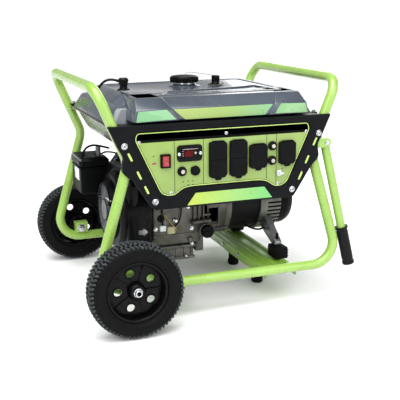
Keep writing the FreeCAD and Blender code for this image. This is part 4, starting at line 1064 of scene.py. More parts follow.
def both_sides(half_outline, radii):
    """A closed outline from its right half, mirrored in X, with rounded corners."""
    left = [(-x, z) for x, z in reversed(half_outline)]
    return rounded_loop(half_outline + left, radii + list(reversed(radii)), steps=6)


def inset(loop, distance):
    """A closed outline moved inwards by a distance."""
    flat = [Vector(p) for p in loop]
    area = sum(a.x * b.y - b.x * a.y for a, b in zip(flat, flat[1:] + flat[:1]))
    sign = 1 if area > 0 else -1
    made = []
    for i, corner in enumerate(flat):
        before = (corner - flat[i - 1])
        after = (flat[(i + 1) % len(flat)] - corner)
        if before.length < 1e-6 or after.length < 1e-6:
            continue
        normal = before.normalized() + after.normalized()
        normal = Vector((-normal.y, normal.x)).normalized() * sign
        made.append(tuple(corner + normal * distance))
    return made


def below(loop, height):
    """The part of a closed outline that lies below a height."""
    made = []
    for (x0, z0), (x1, z1) in zip(loop, loop[1:] + loop[:1]):
        if z0 <= height:
            made.append((x0, z0))
        if (z0 - height) * (z1 - height) < 0:
            share = (height - z0) / (z1 - z0)
            made.append((x0 + share * (x1 - x0), height))
    return made


bezel_edge = both_sides(BEZEL_HALF, BEZEL_ROUND)
bezel_edge = [(x - BEZEL_LEFT_EXTRA, z) if x < -250 and z > 400 else (x, z) for x, z in bezel_edge]
fascia_edge = both_sides(FASCIA_HALF, FASCIA_ROUND)
print("bezel outline points:", len(bezel_edge), "face outline points:", len(fascia_edge))

# %% Surround with its slots
SLOTS_LEFT = [(-262, 457), (-239, 408), (-220, 368)]
SLOTS_RIGHT = [(266, 463), (243, 414.5), (223, 370)]
SLOT_LONG, SLOT_WIDE = 25, 7
slant = math.atan2(457 - 368, -262 + 220)


def slanted(centre, long, wide, mirror=1):
    """A round-ended slot that leans with the panel's side."""
    lean = slant if mirror > 0 else math.pi - slant
    along = Vector((math.cos(lean), math.sin(lean)))
    across = Vector((-along.y, along.x))
    corners = [Vector(centre) + along * long / 2 * u + across * wide / 2 * w
               for u, w in ((-1, -1), (1, -1), (1, 1), (-1, 1))]
    return rounded_loop([tuple(c) for c in corners], wide / 2)


slot_shapes = [slanted(c, SLOT_LONG, SLOT_WIDE) for c in SLOTS_LEFT]
slot_shapes += [slanted(c, SLOT_LONG, SLOT_WIDE, -1) for c in SLOTS_RIGHT]
surround = plate([bezel_edge, inset(fascia_edge, -0.4), *slot_shapes], BEZEL_FRONT, BEZEL_FRONT + 5, soft=1.6,
                 steps=3)
raised_lip = plate([inset(fascia_edge, -7), inset(fascia_edge, -0.6)], BEZEL_FRONT - 1.6, BEZEL_FRONT + 1,
                   soft=1.2, steps=3)
return_edge = plate([bezel_edge, inset(bezel_edge, 3)], BEZEL_FRONT + 2, BEZEL_FRONT + 17, soft=0.6)
shelf = block((-282, BEZEL_FRONT + 4, BEZEL_HIGH.z - 4), (282, BEZEL_HIGH.y, BEZEL_HIGH.z), soft=1.2)
piece("panel_surround", joined(surround, raised_lip, return_edge, shelf), panel_abs,
      stands_for=["panel_bezel"])
inserts = joined(*[plate([inset(s, 0.5)], BEZEL_FRONT + 1.2, BEZEL_FRONT + 4, soft=0.8) for s in slot_shapes])
piece("panel_slot_inserts", inserts, trim_lime)
name_strip = cut([(-110, 317), (-86, 349), (113, 349), (137, 317)], 2, BEZEL_FRONT - 0.5, BEZEL_FRONT + 0.8,
                 soft=0.2, steps=1)
piece("panel_lip_strip", name_strip, name_vinyl)
print("slots:", len(slot_shapes))

# %% Printed face
black_sheet = paint(plate([fascia_edge], FACE, FACE + 2, soft=0.3, steps=1), 0)
line = paint(plate([inset(fascia_edge, 2.2), inset(fascia_edge, 4.6)], FACE - 0.25, FACE + 0.6, soft=0.1,
                   steps=1), 1)
field_edge = below(inset(fascia_edge, 6.0), BAND_LOW)
field = paint(plate([field_edge], FACE - 0.25, FACE + 0.6, soft=0.1, steps=1), 2)
DIVIDERS = [(-143.4, 352), (-63, 373), (119.6, 369), (148.6, 352)]
rules = [paint(block((x - 0.7, FACE - 0.4, low), (x + 0.7, FACE, BAND_LOW), soft=0), 0) for x,
         low in DIVIDERS]
piece("panel_face", joined(black_sheet, line, field, *rules), [print_black, trim_lime, print_lime],
      stands_for=["panel_fascia"])
red_dot = cut(rectangle(-204, -193, 433, 438), 2.4, FACE - 0.5, FACE, soft=0.1, steps=1)
piece("switch_off_mark", red_dot, rocker_red)
mark_spots = [(-120, 381), (-106, 382), (-94, 382), (-106, 372), (-94, 372), (-200, 455), (168, 395)]
marks = [cut(rectangle(x - 2.2, x + 2.2, z - 1.1, z + 1.1), 1, FACE - 0.4, FACE, soft=0.1, steps=1)
         for x, z in mark_spots]
piece("panel_printed_ticks", joined(*marks), print_black)
print("layers on the face: sheet, line, field and", len(DIVIDERS), "rules")

# %% [markdown]
# ## Screws on the panel
#
# Four large dome-headed bolts hold the surround and five small pan-headed screws hold the printed face.
# Each head is turned; its cross recess is not cut but drawn as two crossed dark bars, painted shade.

# %% Screws, bolts and the ground stud
def dome_head(radius, proud):
    """A dome head on a thin washer, about +Z, with its cross recess drawn as two dark bars of painted shade.
    """
    head = turned([(0, 0), (radius + 1.4, 0), (radius + 1.4, 0.9), (radius, 1.2), (radius * 0.86,
        proud * 0.72), (radius * 0.45, proud), (0, proud)], 1.0, steps=32)
    # the recess is two dark bars set just proud of the dome: painted shade
    recess_shade_bars = [block((-radius * 0.45, -0.8, proud - 0.8), (radius * 0.45, 0.8, proud + 0.12), soft=0.2, steps=1)]
    recess_shade_bars.append(copied(recess_shade_bars[0], turn=tilt(90, "Z")))
    return joined(paint(head, 0), *[paint(bar, 1) for bar in recess_shade_bars])


big = dome_head(7.0, 5.2)
small = dome_head(3.2, 2.8)
heads = []
for side in (-1, 1):
    for x, z in ((276.5, 486), (197.5, 334.5)):
        heads.append(copied(big, (side * x, BEZEL_FRONT, z), TURN_TO["-y"]))
    for x, z in ((238, 493), (154, 354)):
        heads.append(copied(small, (side * x, FACE, z), TURN_TO["-y"]))
heads.append(copied(small, (2, FACE, 503), TURN_TO["-y"]))
stud = turned([(0, 0), (8.5, 0), (8.5, 1.4), (6.5, 1.6), (6.5, 5.4), (4, 5.8), (4, 13), (0, 13.6)], 0.5,
              at=(158, FACE, 383), aim="-y", steps=24)
wings = [block((158 + side * 4 - 5, FACE - 10, 379.6), (158 + side * 4 + 5, FACE - 5, 386.4), soft=1.8)
         for side in (-1.6, 1.6)]
piece("panel_screws", joined(*heads, paint(stud, 0), *[paint(w, 0) for w in wings]), [zinc_steel,
    print_black], stands_for=["panel_fasteners"])
for mesh in (big, small):
    bpy.data.meshes.remove(mesh)
print("heads:", len(heads))

# %% [markdown]
# ## Outlets and their lids
#
# Every outlet is covered by a spring lid hinged along its top. A lid is a moulded cap: a soft-edged plate,
# a second raised plate with a crease across its middle, a hinge barrel above and a thumb tab below.
# Under the lids sit the outlets themselves, which show only when a lid is lifted: round faces with blade
# slots on the two double outlets, and three or four slots in a ring on the twist-lock ones.

# %% Lids
LIDS = ["duplex_cover_left", "duplex_cover_right", "twist_cover_left", "twist_cover_right", "dc_cover"]
TAB = 6


def lid_mesh(low, high, tab):
    """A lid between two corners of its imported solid, with its front towards -Y."""
    left, right, top = low.x, high.x, high.z
    bottom = low.z + tab
    back, front = high.y, low.y
    cut = min(8, (right - left) * 0.28)
    edge = [(left, bottom + cut), (left + cut, bottom), (right - cut, bottom), (right, bottom + cut),
            (right, top - cut), (right - cut, top), (left + cut, top), (left, top - cut)]
    outline = rounded_loop(edge, 3.5)
    parts = [plate([outline], front + 1.6, back, soft=0.9)]
    raised = inset(outline, 3.0)
    if high.z - low.z > 90:
        crease = (top + bottom) / 2
        halves = [below(raised, crease - 0.7)]
        flipped = below([(x, -z) for x, z in raised], -crease - 0.7)
        halves.append([(x, -z) for x, z in reversed(flipped)])
    else:
        halves = [raised]
    parts += [plate([half_edge], front - 0.6, front + 2.4, soft=1.3, steps=3) for half_edge in halves]
    if tab:
        lip = rounded_loop([((left + right) / 2 - 11, bottom + 3), ((left + right) / 2 - 8, bottom - tab),
                            ((left + right) / 2 + 8, bottom - tab), ((left + right) / 2 + 11, bottom + 3)], 4)
        parts.append(plate([lip], front + 1.2, back - 0.6, soft=0.9))
    barrel = turned([(0, 0), (2.2, 0), (2.2, right - left - 20), (0, right - left - 20)], 0.5, aim="x",
                    at=(left + 10, back - 2.6, top - 0.6), steps=14)
    return joined(*parts, barrel)


for name in LIDS:
    low, high = span(name)
    tab = 0 if name == "dc_cover" else TAB
    piece(f"{name}_moulded", lid_mesh(low, high, tab), lid_plastic, BODY_OF[name], [name])
print("lids:", len(LIDS))

# %% Outlets under the lids, switch frame and breaker rings
SOCKET_FRONT = FACE - 4
outlets = []


def disc(x, z, radius, proud, number, steps=36):
    face = turned([(0, -0.5), (radius, -0.5), (radius, proud - 0.3), (radius - 0.6, proud), (0, proud)],
                  0.3, aim="-y", at=(x, SOCKET_FRONT, z), steps=steps)
    return paint(face, number)


# a blade slot is a thin black bar on the outlet's face, not an opening: painted shade in the slot
def slot_shade_bar(x, z, wide, tall, lean=0):
    bar = block((-wide / 2, -0.35, -tall / 2), (wide / 2, 0.3, tall / 2), soft=0.1, steps=1)
    return paint(moved(bar, (x, SOCKET_FRONT, z), tilt(lean, "Y")), 2)


for name in LIDS:
    low, high = span(name)
    tab = 0 if name == "dc_cover" else TAB
    x, z = (low.x + high.x) / 2, (low.z + tab + high.z) / 2
    edge = rounded_loop(rectangle(low.x + 1.5, high.x - 1.5, low.z + tab + 2, high.z - 2), 6)
    outlets.append(paint(plate([edge], SOCKET_FRONT + 0.3, FACE + 0.5, soft=0.8), 0))
    if name.startswith("duplex"):
        for middle_z in (z - 20, z + 20):
            outlets.append(disc(x, middle_z, 15.5, 0.25, 1))
            for bar in ((-6.3, 3, 2.0, 7.5), (6.3, 3, 2.0, 6.4), (0, -6.5, 4.2, 4.2)):
                outlets.append(slot_shade_bar(x + bar[0], middle_z + bar[1], bar[2], bar[3]))
    elif name.startswith("twist"):
        outlets.append(disc(x, z, 20, 0.25, 1))
        for turn in (90, 210, 330) if name.endswith("left") else (45, 135, 225, 315):
            spot = Vector((math.cos(math.radians(turn)), math.sin(math.radians(turn)))) * 12
            outlets.append(slot_shade_bar(x + spot.x, z + spot.y, 2.2, 9, -turn))
    else:
        outlets.append(disc(x, z, 9.5, 0.25, 2))

SWITCH = middle("switch_rocker")
switch_low, switch_high = span("switch_rocker")
hole = rounded_loop(rectangle(switch_low.x - 0.8, switch_high.x + 0.8, switch_low.z - 1.6,
                              switch_high.z + 1.6), 1.5)
rim = rounded_loop(rectangle(switch_low.x - 5, switch_high.x + 5, switch_low.z - 5, switch_high.z + 5), 2.5)
outlets.append(paint(plate([rim, hole], FACE - 9, FACE + 0.5, soft=1.0), 0))
BUTTONS = ["reset_button", "breaker_button_upper", "breaker_button_lower"]
for name in BUTTONS:
    button = middle(name)
    ring = rounded_profile([(8.2, 0), (12.8, 0), (12.8, 3.6), (11.4, 4), (11.4, 7), (10.2, 8), (8.2, 8),
                            (8.2, 0)], 0.6)
    outlets.append(paint(lathe(ring, aim="-y", at=(button.x, FACE, button.z), steps=36), 3))
    notch = block((11.0, -0.9, 4.2), (12.0, 0.9, 7), soft=0.3, steps=1)
    outlets.append(paint(ring_of(notch, 20, "-y", (button.x, FACE, button.z)), 3))
piece("panel_outlets", joined(*outlets), [lid_plastic, panel_abs, print_black, gloss_plastic],
      stands_for=["panel_sockets"])
print("pieces in the outlets:", len(outlets))

# %% Rocker, push buttons and the meter
ROCKER_FRONT = switch_low.y
half_tall = (switch_high.z - switch_low.z) / 2
rocker_side = [(ROCKER_FRONT + 6, -half_tall), (ROCKER_FRONT + 0.4, -half_tall), (ROCKER_FRONT + 1.6,
    -half_tall / 2), (ROCKER_FRONT + 2.4, 0), (ROCKER_FRONT + 1.6, half_tall / 2), (ROCKER_FRONT + 0.4,
    half_tall), (ROCKER_FRONT + 6, half_tall)]
rocker_side = [(y, z + SWITCH.z) for y, z in rocker_side]
rocker = paint(plate([rocker_side], switch_low.x + 0.3, switch_high.x - 0.3, soft=0.7, plane="yz"), 0)
bar_mark = block((SWITCH.x - 4.5, ROCKER_FRONT + 1.0, SWITCH.z + 6), (SWITCH.x + 4.5, ROCKER_FRONT + 1.6,
                                                                    SWITCH.z + 7.4), soft=0.2, steps=1)
ring_mark = lathe([(2.6, 0), (3.8, 0), (3.8, 0.6), (2.6, 0.6), (2.6, 0)], aim="-y",
                  at=(SWITCH.x, ROCKER_FRONT + 1.6, SWITCH.z - 7), steps=20)
piece("switch_rocker_moulded", joined(rocker, paint(bar_mark, 1), paint(ring_mark, 1)), [rocker_red,
    mark_grey], "engine_switch", ["switch_rocker"])

for name in BUTTONS:
    low, high = span(name)
    button = middle(name)
    radius = (high.x - low.x) / 2
    tall = high.y - low.y
    skirt = rounded_profile([(0, 0), (radius - 0.1, 0), (radius - 0.1, tall - 2.4), (radius - 1, tall - 1.6),
                             (0, tall - 1.6)], 0.5)
    cap = rounded_profile([(0, tall - 1.8), (5.4, tall - 1.8), (5.4, tall - 0.5), (4.6, tall), (0, tall)],
                          0.4)
    shapes = [lathe(line, aim="-y", at=(button.x, high.y, button.z), steps=32) for line in (skirt, cap)]
    piece(f"{name}_moulded", joined(paint(shapes[1], 0), paint(shapes[0], 1)), [pale_plastic, lid_plastic],
          BODY_OF[name], [name])

meter_low, meter_high = span("digital_meter")
meter_edge = rounded_loop(rectangle(meter_low.x, meter_high.x, meter_low.z, meter_high.z), 11, steps=6)
meter_x, meter_z = (meter_low.x + meter_high.x) / 2, (meter_low.z + meter_high.z) / 2
case = paint(plate([meter_edge], meter_low.y + 1.2, meter_high.y, soft=1.8, steps=3), 0)
hood_edge = rounded_loop(rectangle(meter_x - 24, meter_x + 24, meter_z - 12, meter_z + 13), 4)
hood = paint(plate([hood_edge, inset(hood_edge, 2.0)], meter_low.y - 1.2, meter_low.y + 2, soft=0.8), 0)
window = paint(cut(rectangle(meter_x - 15, meter_x + 9, meter_z - 9, meter_z + 8), 1.5, meter_low.y + 0.5,
                   meter_low.y + 2, soft=0.3), 1)
key = turned([(0, 0), (3, 0), (3, 1.6), (2.4, 2), (0, 2)], 0.4, aim="-y", at=(meter_x + 15.5,
    meter_low.y + 1.4, meter_z), steps=20, number=2)
lamps = [paint(block((meter_x - 20.5, meter_low.y + 0.4, meter_z + dz - 1), (meter_x - 18,
    meter_low.y + 1.6, meter_z + dz + 1), soft=0.3, steps=1), 2) for dz in (-6, 0, 6)]
rim_line = paint(block((meter_x - 21, meter_low.y - 1.5, meter_z + 10.8), (meter_x + 21, meter_low.y - 0.9,
    meter_z + 12.0), soft=0.2, steps=1), 2)
ends = [paint(moved(dome_head(3.0, 2.2), (meter_x + side * 29.5, meter_low.y + 1.2, meter_z - 1),
                    TURN_TO["-y"]), 3) for side in (-1, 1)]
piece("digital_meter_case", joined(case, hood, window, key, *lamps, rim_line, *ends),
      [gloss_plastic, display_red, pale_plastic, zinc_steel], stands_for=["digital_meter"])
print("meter centre:", round(meter_x), round(meter_z))

# %% [markdown]
# ## Engine
#
# The crankcase is a die casting in bare aluminium: soft edges, flanges with bolts along them, a bearing
# boss with ribs and a drain boss low down. The cylinder leans back, so its fins, head and valve cover are
# drawn upright first and then leaned over in one go.

# %% Crankcase casting
CASE_LEFT, CASE_RIGHT, CASE_HALF = -150, 15, 105
CASE_FRONT = -CASE_HALF
SUMP_LEFT, SUMP_RIGHT, SUMP_LOW = -150, -18, 103
LEAN_BACK = tilt(-65, "X")
BARREL_FOOT = (-60, 0, CRANK_Z)


def hex_bolt(radius, tall, at, aim):
    """A hexagon bolt head on its washer."""
    washer = lathe([(0, 0), (radius * 1.25, 0), (radius * 1.25, 1.2), (0, 1.2)], steps=24)
    head = lathe(rounded_profile([(0, 1.2), (radius, 1.2), (radius, tall), (0, tall)], 0.8, steps=2), steps=6)
    return moved(joined(washer, head), at, TURN_TO[aim])


case_parts = [
    block((CASE_LEFT, CASE_FRONT, 150), (CASE_RIGHT - 18, CASE_HALF, 345), soft=7),
    block((CASE_RIGHT - 22, CASE_FRONT + 5, 206), (CASE_RIGHT, CASE_HALF - 5, 340), soft=6),
    block((CASE_LEFT - 2, CASE_FRONT - 3, 139), (SUMP_RIGHT + 3, CASE_HALF + 3, 149), soft=3),
    block((SUMP_LEFT, -99, 106), (SUMP_RIGHT - 4, 99, 142), soft=5),
    block((SUMP_LEFT - 2, -102, SUMP_LOW), (SUMP_RIGHT, 102, SUMP_LOW + 9), soft=3),
    block((CASE_LEFT + 1, CASE_FRONT - 2.5, 178), (SUMP_RIGHT - 2, CASE_FRONT + 4, 184), soft=1.5),
    block((CASE_LEFT + 2, CASE_FRONT - 3, 258), (-112, CASE_FRONT + 4, 290), soft=2.5),
    block((-12, CASE_FRONT + 1, 168), (19, -62, 206), soft=5),
    block((-16, -98, 122), (10, -64, 172), soft=5),
]
case_parts += [block((x - 2, CASE_FRONT - 7, 214), (x + 2, CASE_FRONT + 4, 300), soft=1.4) for x in (-24,
    -9, 6)]
case_parts += [block((x - 1.6, -101.5, 112), (x + 1.6, -96, 140), soft=1.0) for x in (-130, -104, -78, -52,
    -30)]
boss = rounded_profile([(0, 0), (8, 0), (8, 36), (9.5, 38), (9.5, 44), (7, 46), (7, 58), (4, 61), (0, 61)], 2)
case_parts.append(lathe(boss, aim="x", at=(-31, CASE_FRONT - 5, 215), steps=28))
case_parts.append(turned([(0, 0), (5.5, 0), (5.5, 22), (0, 24)], 1.5, aim="x", at=(6, CASE_FRONT + 1, 233),
                         steps=24))
case_parts.append(turned([(0, 0), (17, 0), (17, 12), (0, 12)], 1, aim="-y", at=(11, CASE_FRONT, 188),
                         steps=36))
case_parts.append(turned([(0, 0), (9, 0), (9, 6), (6, 9), (0, 9)], 1.5, aim="-y", at=(-34, CASE_FRONT + 2,
    163), steps=24))
case_bolts = [(-30, 196), (-30, 150.5), (-140, 204), (-138, 300), (-60, 300), (-40, 262)]
case_parts += [paint(hex_bolt(4.6, 5.5, (x, CASE_FRONT - 0.5, z), "-y"), 1) for x, z in case_bolts]
case_parts += [paint(hex_bolt(5.0, 5, (x, -103.5, 112.0), "z"), 1) for x in (-136, -92, -48)]
print("crankcase pieces:", len(case_parts))

# %% Cylinder, fins, head and valve cover
FIN_HALF = 73
barrel_parts = [lathe([(0, 60), (58, 60), (58, 192), (0, 192)], steps=48)]
fin = block((-FIN_HALF, -FIN_HALF, 181), (FIN_HALF, FIN_HALF, 184), soft=1.2, steps=2)
barrel_parts.append(repeated(fin, 7, step=(0, 0, -11)))
case_parts.append(moved(joined(*barrel_parts), BARREL_FOOT, LEAN_BACK))
piece("crankcase_casting", joined(*case_parts), [cast_aluminium, zinc_steel], stands_for=["crankcase"])

head_fin = block((-70, -70, 196), (70, 70, 199.5), soft=1.2, steps=2)
head = [block((-62, -62, 192), (62, 62, 235), soft=4), repeated(head_fin, 4, step=(0, 0, 10.5))]
plug = [(0, 0), (5, 0), (5, 10), (9, 10), (9, 18), (5.5, 18), (5.5, 26), (8, 26), (8, 44), (6, 48), (0, 48)]
head.append(turned(plug, 1, aim="-y", at=(44, -60, 214), steps=24, number=1))
piece("cylinder_head_casting", moved(joined(*head), BARREL_FOOT, LEAN_BACK), [cast_aluminium, lid_plastic],
      stands_for=["cylinder_head"])
cover = [block((-56, -56, 235), (56, 56, 242), soft=2.5), block((-50, -50, 240), (50, 50, 262), soft=9,
                                                                steps=5)]
cover += [paint(hex_bolt(4.6, 7, (x, y, 242), "z"), 1) for x in (-46, 46) for y in (-46, 46)]
piece("valve_cover_pressed", moved(joined(*cover), BARREL_FOOT, LEAN_BACK), [cast_pale, zinc_steel],
      stands_for=["valve_cover"])
print("cylinder leans back 25 degrees above the level")

# %% [markdown]
# ## Small parts on the engine's front
#
# A yellow earth wire and a black lead run down to a beige plug box and a white connector. The oil cap has a
# ribbed grip, a pale gasket behind it and a raised bar to turn it by.

# %% Wiring and oil cap
front = CASE_FRONT
box_seat = block((-106, front - 11, 188), (-83, front + 1, 209), soft=2.5)
bits = [paint(box_seat, 0), paint(block((-101, front - 13, 192), (-88, front - 10, 204), soft=1), 0)]
bits.append(paint(block((-128, front - 9, 197), (-110, front + 1, 214), soft=2.5), 1))
bits.append(paint(wire([(-113, front - 4, 246), (-108, front - 8, 236), (-92, front - 8, 214),
                        (-78, front - 7, 200), (-74, front - 1, 193)], 1.6), 2))
bits.append(paint(wire([(-64, front - 3, 290), (-62, front - 7, 262), (-65, front - 7, 232), (-74,
    front - 6, 214), (-84, front - 5, 208)], 2.0), 3))
bits.append(paint(wire([(-120, front - 3, 262), (-122, front - 8, 240), (-120, front - 8, 222),
                        (-119, front - 4, 212)], 2.0), 3))
bits.append(turned([(0, 0), (7, 0), (7, 5), (4.5, 7), (4.5, 11), (0, 11)], 1, aim="-y", at=(-81, front,
    225), steps=24, number=4))
bits.append(turned([(0, 0), (11, 0), (11, 2.5), (0, 3)], 1, aim="-y", at=(-124, front, 234), steps=28,
                   number=3))
piece("engine_front_wiring", joined(*bits), [beige_plastic, white_vinyl, yellow_wire, lid_plastic,
                                             zinc_steel])

cap_high = span("oil_filler_cap")[1]
cap_at = middle("oil_filler_cap")
cap_x, cap_z = cap_at.x, cap_at.z
oil_cap = [turned([(0, 0), (17.6, 0), (19, 2), (19, 15), (16, 18), (10, 18.6), (0, 18.6)], 1.2, aim="-y",
                  at=(cap_x, cap_high.y, cap_z), steps=40)]
rib = block((18.4, -1.1, 3), (19.6, 1.1, 15), soft=0.5, steps=2)
oil_cap.append(paint(ring_of(rib, 28, "-y", (cap_x, cap_high.y, cap_z)), 0))
oil_cap.append(paint(block((cap_x - 13, cap_high.y - 22, cap_z - 3), (cap_x + 13, cap_high.y - 17, cap_z + 3),
                           soft=1.8), 0))
piece("oil_cap_ribbed", joined(*oil_cap), lid_plastic, BODY_OF["oil_filler_cap"], ["oil_filler_cap"])
gasket = lathe([(16, 0), (19.4, 0), (19.4, 1.6), (16, 1.6), (16, 0)], aim="-y",
               at=(cap_x, cap_high.y + 1.9, cap_z), steps=40)
piece("oil_cap_gasket", gasket, pale_plastic)
print("oil cap at", round(cap_x), round(cap_z))

# %% [markdown]
# ## Cooling housing and recoil starter
#
# The housing is a pressed and enamelled drum with a shoulder on top. The starter cover is a moulding: a
# tapering rim, thirty-six curved vanes between the rim and the hub, slanted louvres round its side, and a
# plain brushed plate in the middle.

# %% Blower housing
BLOWER_LEFT, BLOWER_RADIUS = -243, 118
drum = rounded_profile([(80, 0), (108, 0), (118, 12), (118, 91), (113, 91), (113, 14), (106, 5), (80, 5)],
                       5, 5)
housing = [lathe(drum + [drum[0]], aim="x", at=(BLOWER_LEFT, 0, CRANK_Z), steps=96)]
housing.append(block((-226, -BLOWER_RADIUS, 160), (-152, -40, 262), soft=9))
housing.append(block((-228, -114, 262), (-184, -40, 356), soft=20, steps=6))
housing.append(block((-226, -60, 300), (-150, 112, 372), soft=16, steps=5))
housing += [block((-210 + i * 14, -BLOWER_RADIUS - 1.2, 178), (-204 + i * 14, -BLOWER_RADIUS + 2, 238),
                  soft=0.6) for i in (0, 3)]
piece("blower_housing_pressed", joined(*housing), engine_black, stands_for=["blower_housing"])
arrow = [(-194, 196), (-180, 196), (-180, 191), (-165, 203), (-180, 215), (-180, 210), (-194, 210)]
arrow_sign = plate([arrow], -BLOWER_RADIUS - 0.6, -BLOWER_RADIUS + 0.4, soft=0.15, steps=1)
piece("turning_arrow_sticker", arrow_sign, brushed_plate)
print("housing radius", BLOWER_RADIUS)

# %% Recoil starter cover
RECOIL_AT = (BLOWER_LEFT + 13, 0, CRANK_Z)
rim_outline = rounded_profile([(84, 0), (88, 0), (88, 16), (85, 27), (79, 33), (75, 34), (73, 31), (79, 26),
                               (84, 15), (84, 0)], 2.0)
cover_shell = lathe(rim_outline, aim="-x", at=RECOIL_AT, steps=80)
back_disc = paint(lathe([(0, 17), (75, 17), (75, 20), (0, 20)], aim="-x", at=RECOIL_AT, steps=48), 1)
vane_line = [(32 + 44 * t / 6, math.radians(3.2 * t + 0.45 * t * t)) for t in range(7)]
side_a = [(r * math.cos(a), r * math.sin(a)) for r, a in vane_line]
side_b = [(r * math.cos(a + 0.9 / r), r * math.sin(a + 0.9 / r)) for r, a in reversed(vane_line)]
vane = plate([side_a + side_b], 21, 32.5, soft=0.25, steps=1, plane="xy")
vanes = paint(ring_of(vane, 36, "-x", RECOIL_AT), 4)
louvre = block((85, -1.4, 3), (89.0, 1.4, 15), soft=0.7, steps=2)
louvres = ring_of(moved(louvre, turn=tilt(6, "X")), 44, "-x", RECOIL_AT)
hub = turned([(0, 20), (34, 20), (34, 31), (32, 33.6), (0, 33.6)], 1.5, aim="-x", at=RECOIL_AT, steps=64)
bright = turned([(0, 33.4), (29, 33.4), (29, 34.2), (28, 34.6), (0, 34.6)], 0.4, aim="-x", at=RECOIL_AT,
                steps=64, number=2)
fixings = []
for turn in (35, 155, 275):
    spot = (BLOWER_LEFT, 94 * math.cos(math.radians(turn)), CRANK_Z + 94 * math.sin(math.radians(turn)))
    fixings.append(paint(hex_bolt(4.6, 7, (spot[0] - 1, spot[1], spot[2]), "-x"), 3))
piece("recoil_cover_vaned", joined(cover_shell, back_disc, vanes, louvres, hub, bright, *fixings),
      [lid_plastic, print_black, brushed_plate, zinc_steel, vane_plastic], stands_for=["recoil_cover"])

grip_at = middle("recoil_handle")
handle_low, handle_high = span("recoil_handle")
bar_long = handle_high.x - handle_low.x
bar = rounded_profile([(0, 0), (6.4, 0), (7, 5), (6.2, bar_long / 2), (7, bar_long - 5), (6.4, bar_long),
                       (0, bar_long)], 2)
grip = [lathe(bar, aim="x", at=(handle_low.x, handle_low.y + 7, grip_at.z), steps=28)]
grip.append(turned([(2.5, 0), (6, 0), (6, 10), (2.5, 12)], 1, aim="y", at=(grip_at.x, handle_low.y + 10,
    grip_at.z), steps=24))
piece("recoil_grip_moulded", joined(*grip), lid_plastic, BODY_OF["recoil_handle"], ["recoil_handle"])
print("vanes 36, louvres 44")

# %% [markdown]
# ## Breathing: air cleaner, carburettor, linkage and exhaust
#
# The air cleaner is a deep box with a bevelled lid, two knobs and a blank white label. Bright control
# levers, a spring and two small hoses fill the gap between it and the panel. The muffler is a rolled can
# with pressed ends under a slotted heat guard.

# %% Air cleaner
CLEANER_LOW, CLEANER_HIGH = span("air_cleaner")
seam = 348
lower = block((CLEANER_LOW.x, CLEANER_LOW.y, CLEANER_LOW.z), (CLEANER_HIGH.x, CLEANER_HIGH.y, seam), soft=5)
upper = block((CLEANER_LOW.x - 2.5, CLEANER_LOW.y - 2.5, seam + 1), (CLEANER_HIGH.x + 2.5,
                                                                     CLEANER_HIGH.y + 2.5, CLEANER_HIGH.z),
              soft=9, steps=1)
seam_strip = block((CLEANER_LOW.x - 1, CLEANER_LOW.y - 1, seam - 2), (CLEANER_HIGH.x + 1,
    CLEANER_HIGH.y + 1, seam + 3), soft=0.8)
knob = rounded_profile([(0, 0), (9, 0), (9, 3), (6, 4), (6, 10), (0, 11)], 1.5)
knobs = [lathe(knob, at=(x, middle("air_cleaner").y, CLEANER_HIGH.z - 1), steps=24) for x in (-280, -236)]
piece("air_cleaner_box", joined(lower, upper, seam_strip, *knobs), lid_plastic, stands_for=["air_cleaner"])
# a grey strip along the black lid's left top edge: painted highlight where the bevel catches the light
bevel_highlight = block((CLEANER_LOW.x - 1.2, CLEANER_LOW.y - 3.4, CLEANER_HIGH.z - 10),
                   (CLEANER_LOW.x + 6, CLEANER_HIGH.y, CLEANER_HIGH.z - 2), soft=3)
piece("air_cleaner_edge", bevel_highlight, pressed_grey)
label = block((CLEANER_LOW.x - 0.6, 148, 310), (CLEANER_LOW.x + 1, 205, 346), soft=0.2)
piece("air_cleaner_blank_label", label, white_vinyl)
print("air cleaner box", [round(v) for v in CLEANER_HIGH - CLEANER_LOW], "mm")

# %% Carburettor, levers and hoses
CARB_LOW, CARB_HIGH = span("carburetor")
carb_at = middle("carburetor")
carb = [block((-198, CARB_LOW.y, 314), (-148, CARB_HIGH.y, 352), soft=4)]
carb.append(turned([(0, 0), (21, 0), (21, 20), (17, 26), (0, 26)], 3, at=(-173, carb_at.y, 289), steps=36))
carb.append(turned([(0, 0), (17, 0), (17, 8), (14, 10), (14, 76), (17, 78), (17, 84), (0, 84)], 1, aim="x",
                   at=(CLEANER_HIGH.x, carb_at.y, 335), steps=36))
piece("carburettor_casting", joined(*carb), cast_pale, stands_for=["carburetor"])
control = [paint(cut([(-212, 330), (-168, 330), (-160, 392), (-178, 396), (-206, 360)], 4, 146, 148,
                     soft=0.5), 0)]
control.append(paint(wire([(-176, 144, 392), (-186, 142, 366), (-198, 142, 334), (-201, 144, 326)], 2.2), 1))
control.append(paint(wire([(-201, 144, 326), (-188, 140, 310), (-172, 140, 290)], 3.4), 0))
control.append(paint(hex_bolt(5, 6, (-186, 146, 366), "-y"), 1))
coil = [(-246 + 1.6 * t, 150 + 3.4 * math.cos(t * 1.57), 374 + 1.1 * t + 3.4 * math.sin(t * 1.57))
        for t in range(34)]
control.append(paint(wire(coil, 0.8), 1))
control.append(turned([(0, 0), (8, 0), (8, 36), (5, 40), (0, 40)], 1.5, at=(-240, 150, 372), steps=24))
control.append(paint(wire([(-290, 150, 380), (-288, 146, 404), (-262, 148, 421), (-240, 150, 414),
                           (-206, 150, 404)], 3.2), 2))
control.append(paint(wire([(-240, 158, 372), (-236, 150, 392), (-214, 146, 398), (-184, 150, 386)], 2.6), 2))
piece("engine_controls", joined(*control), [pressed_grey, zinc_steel, lid_plastic])

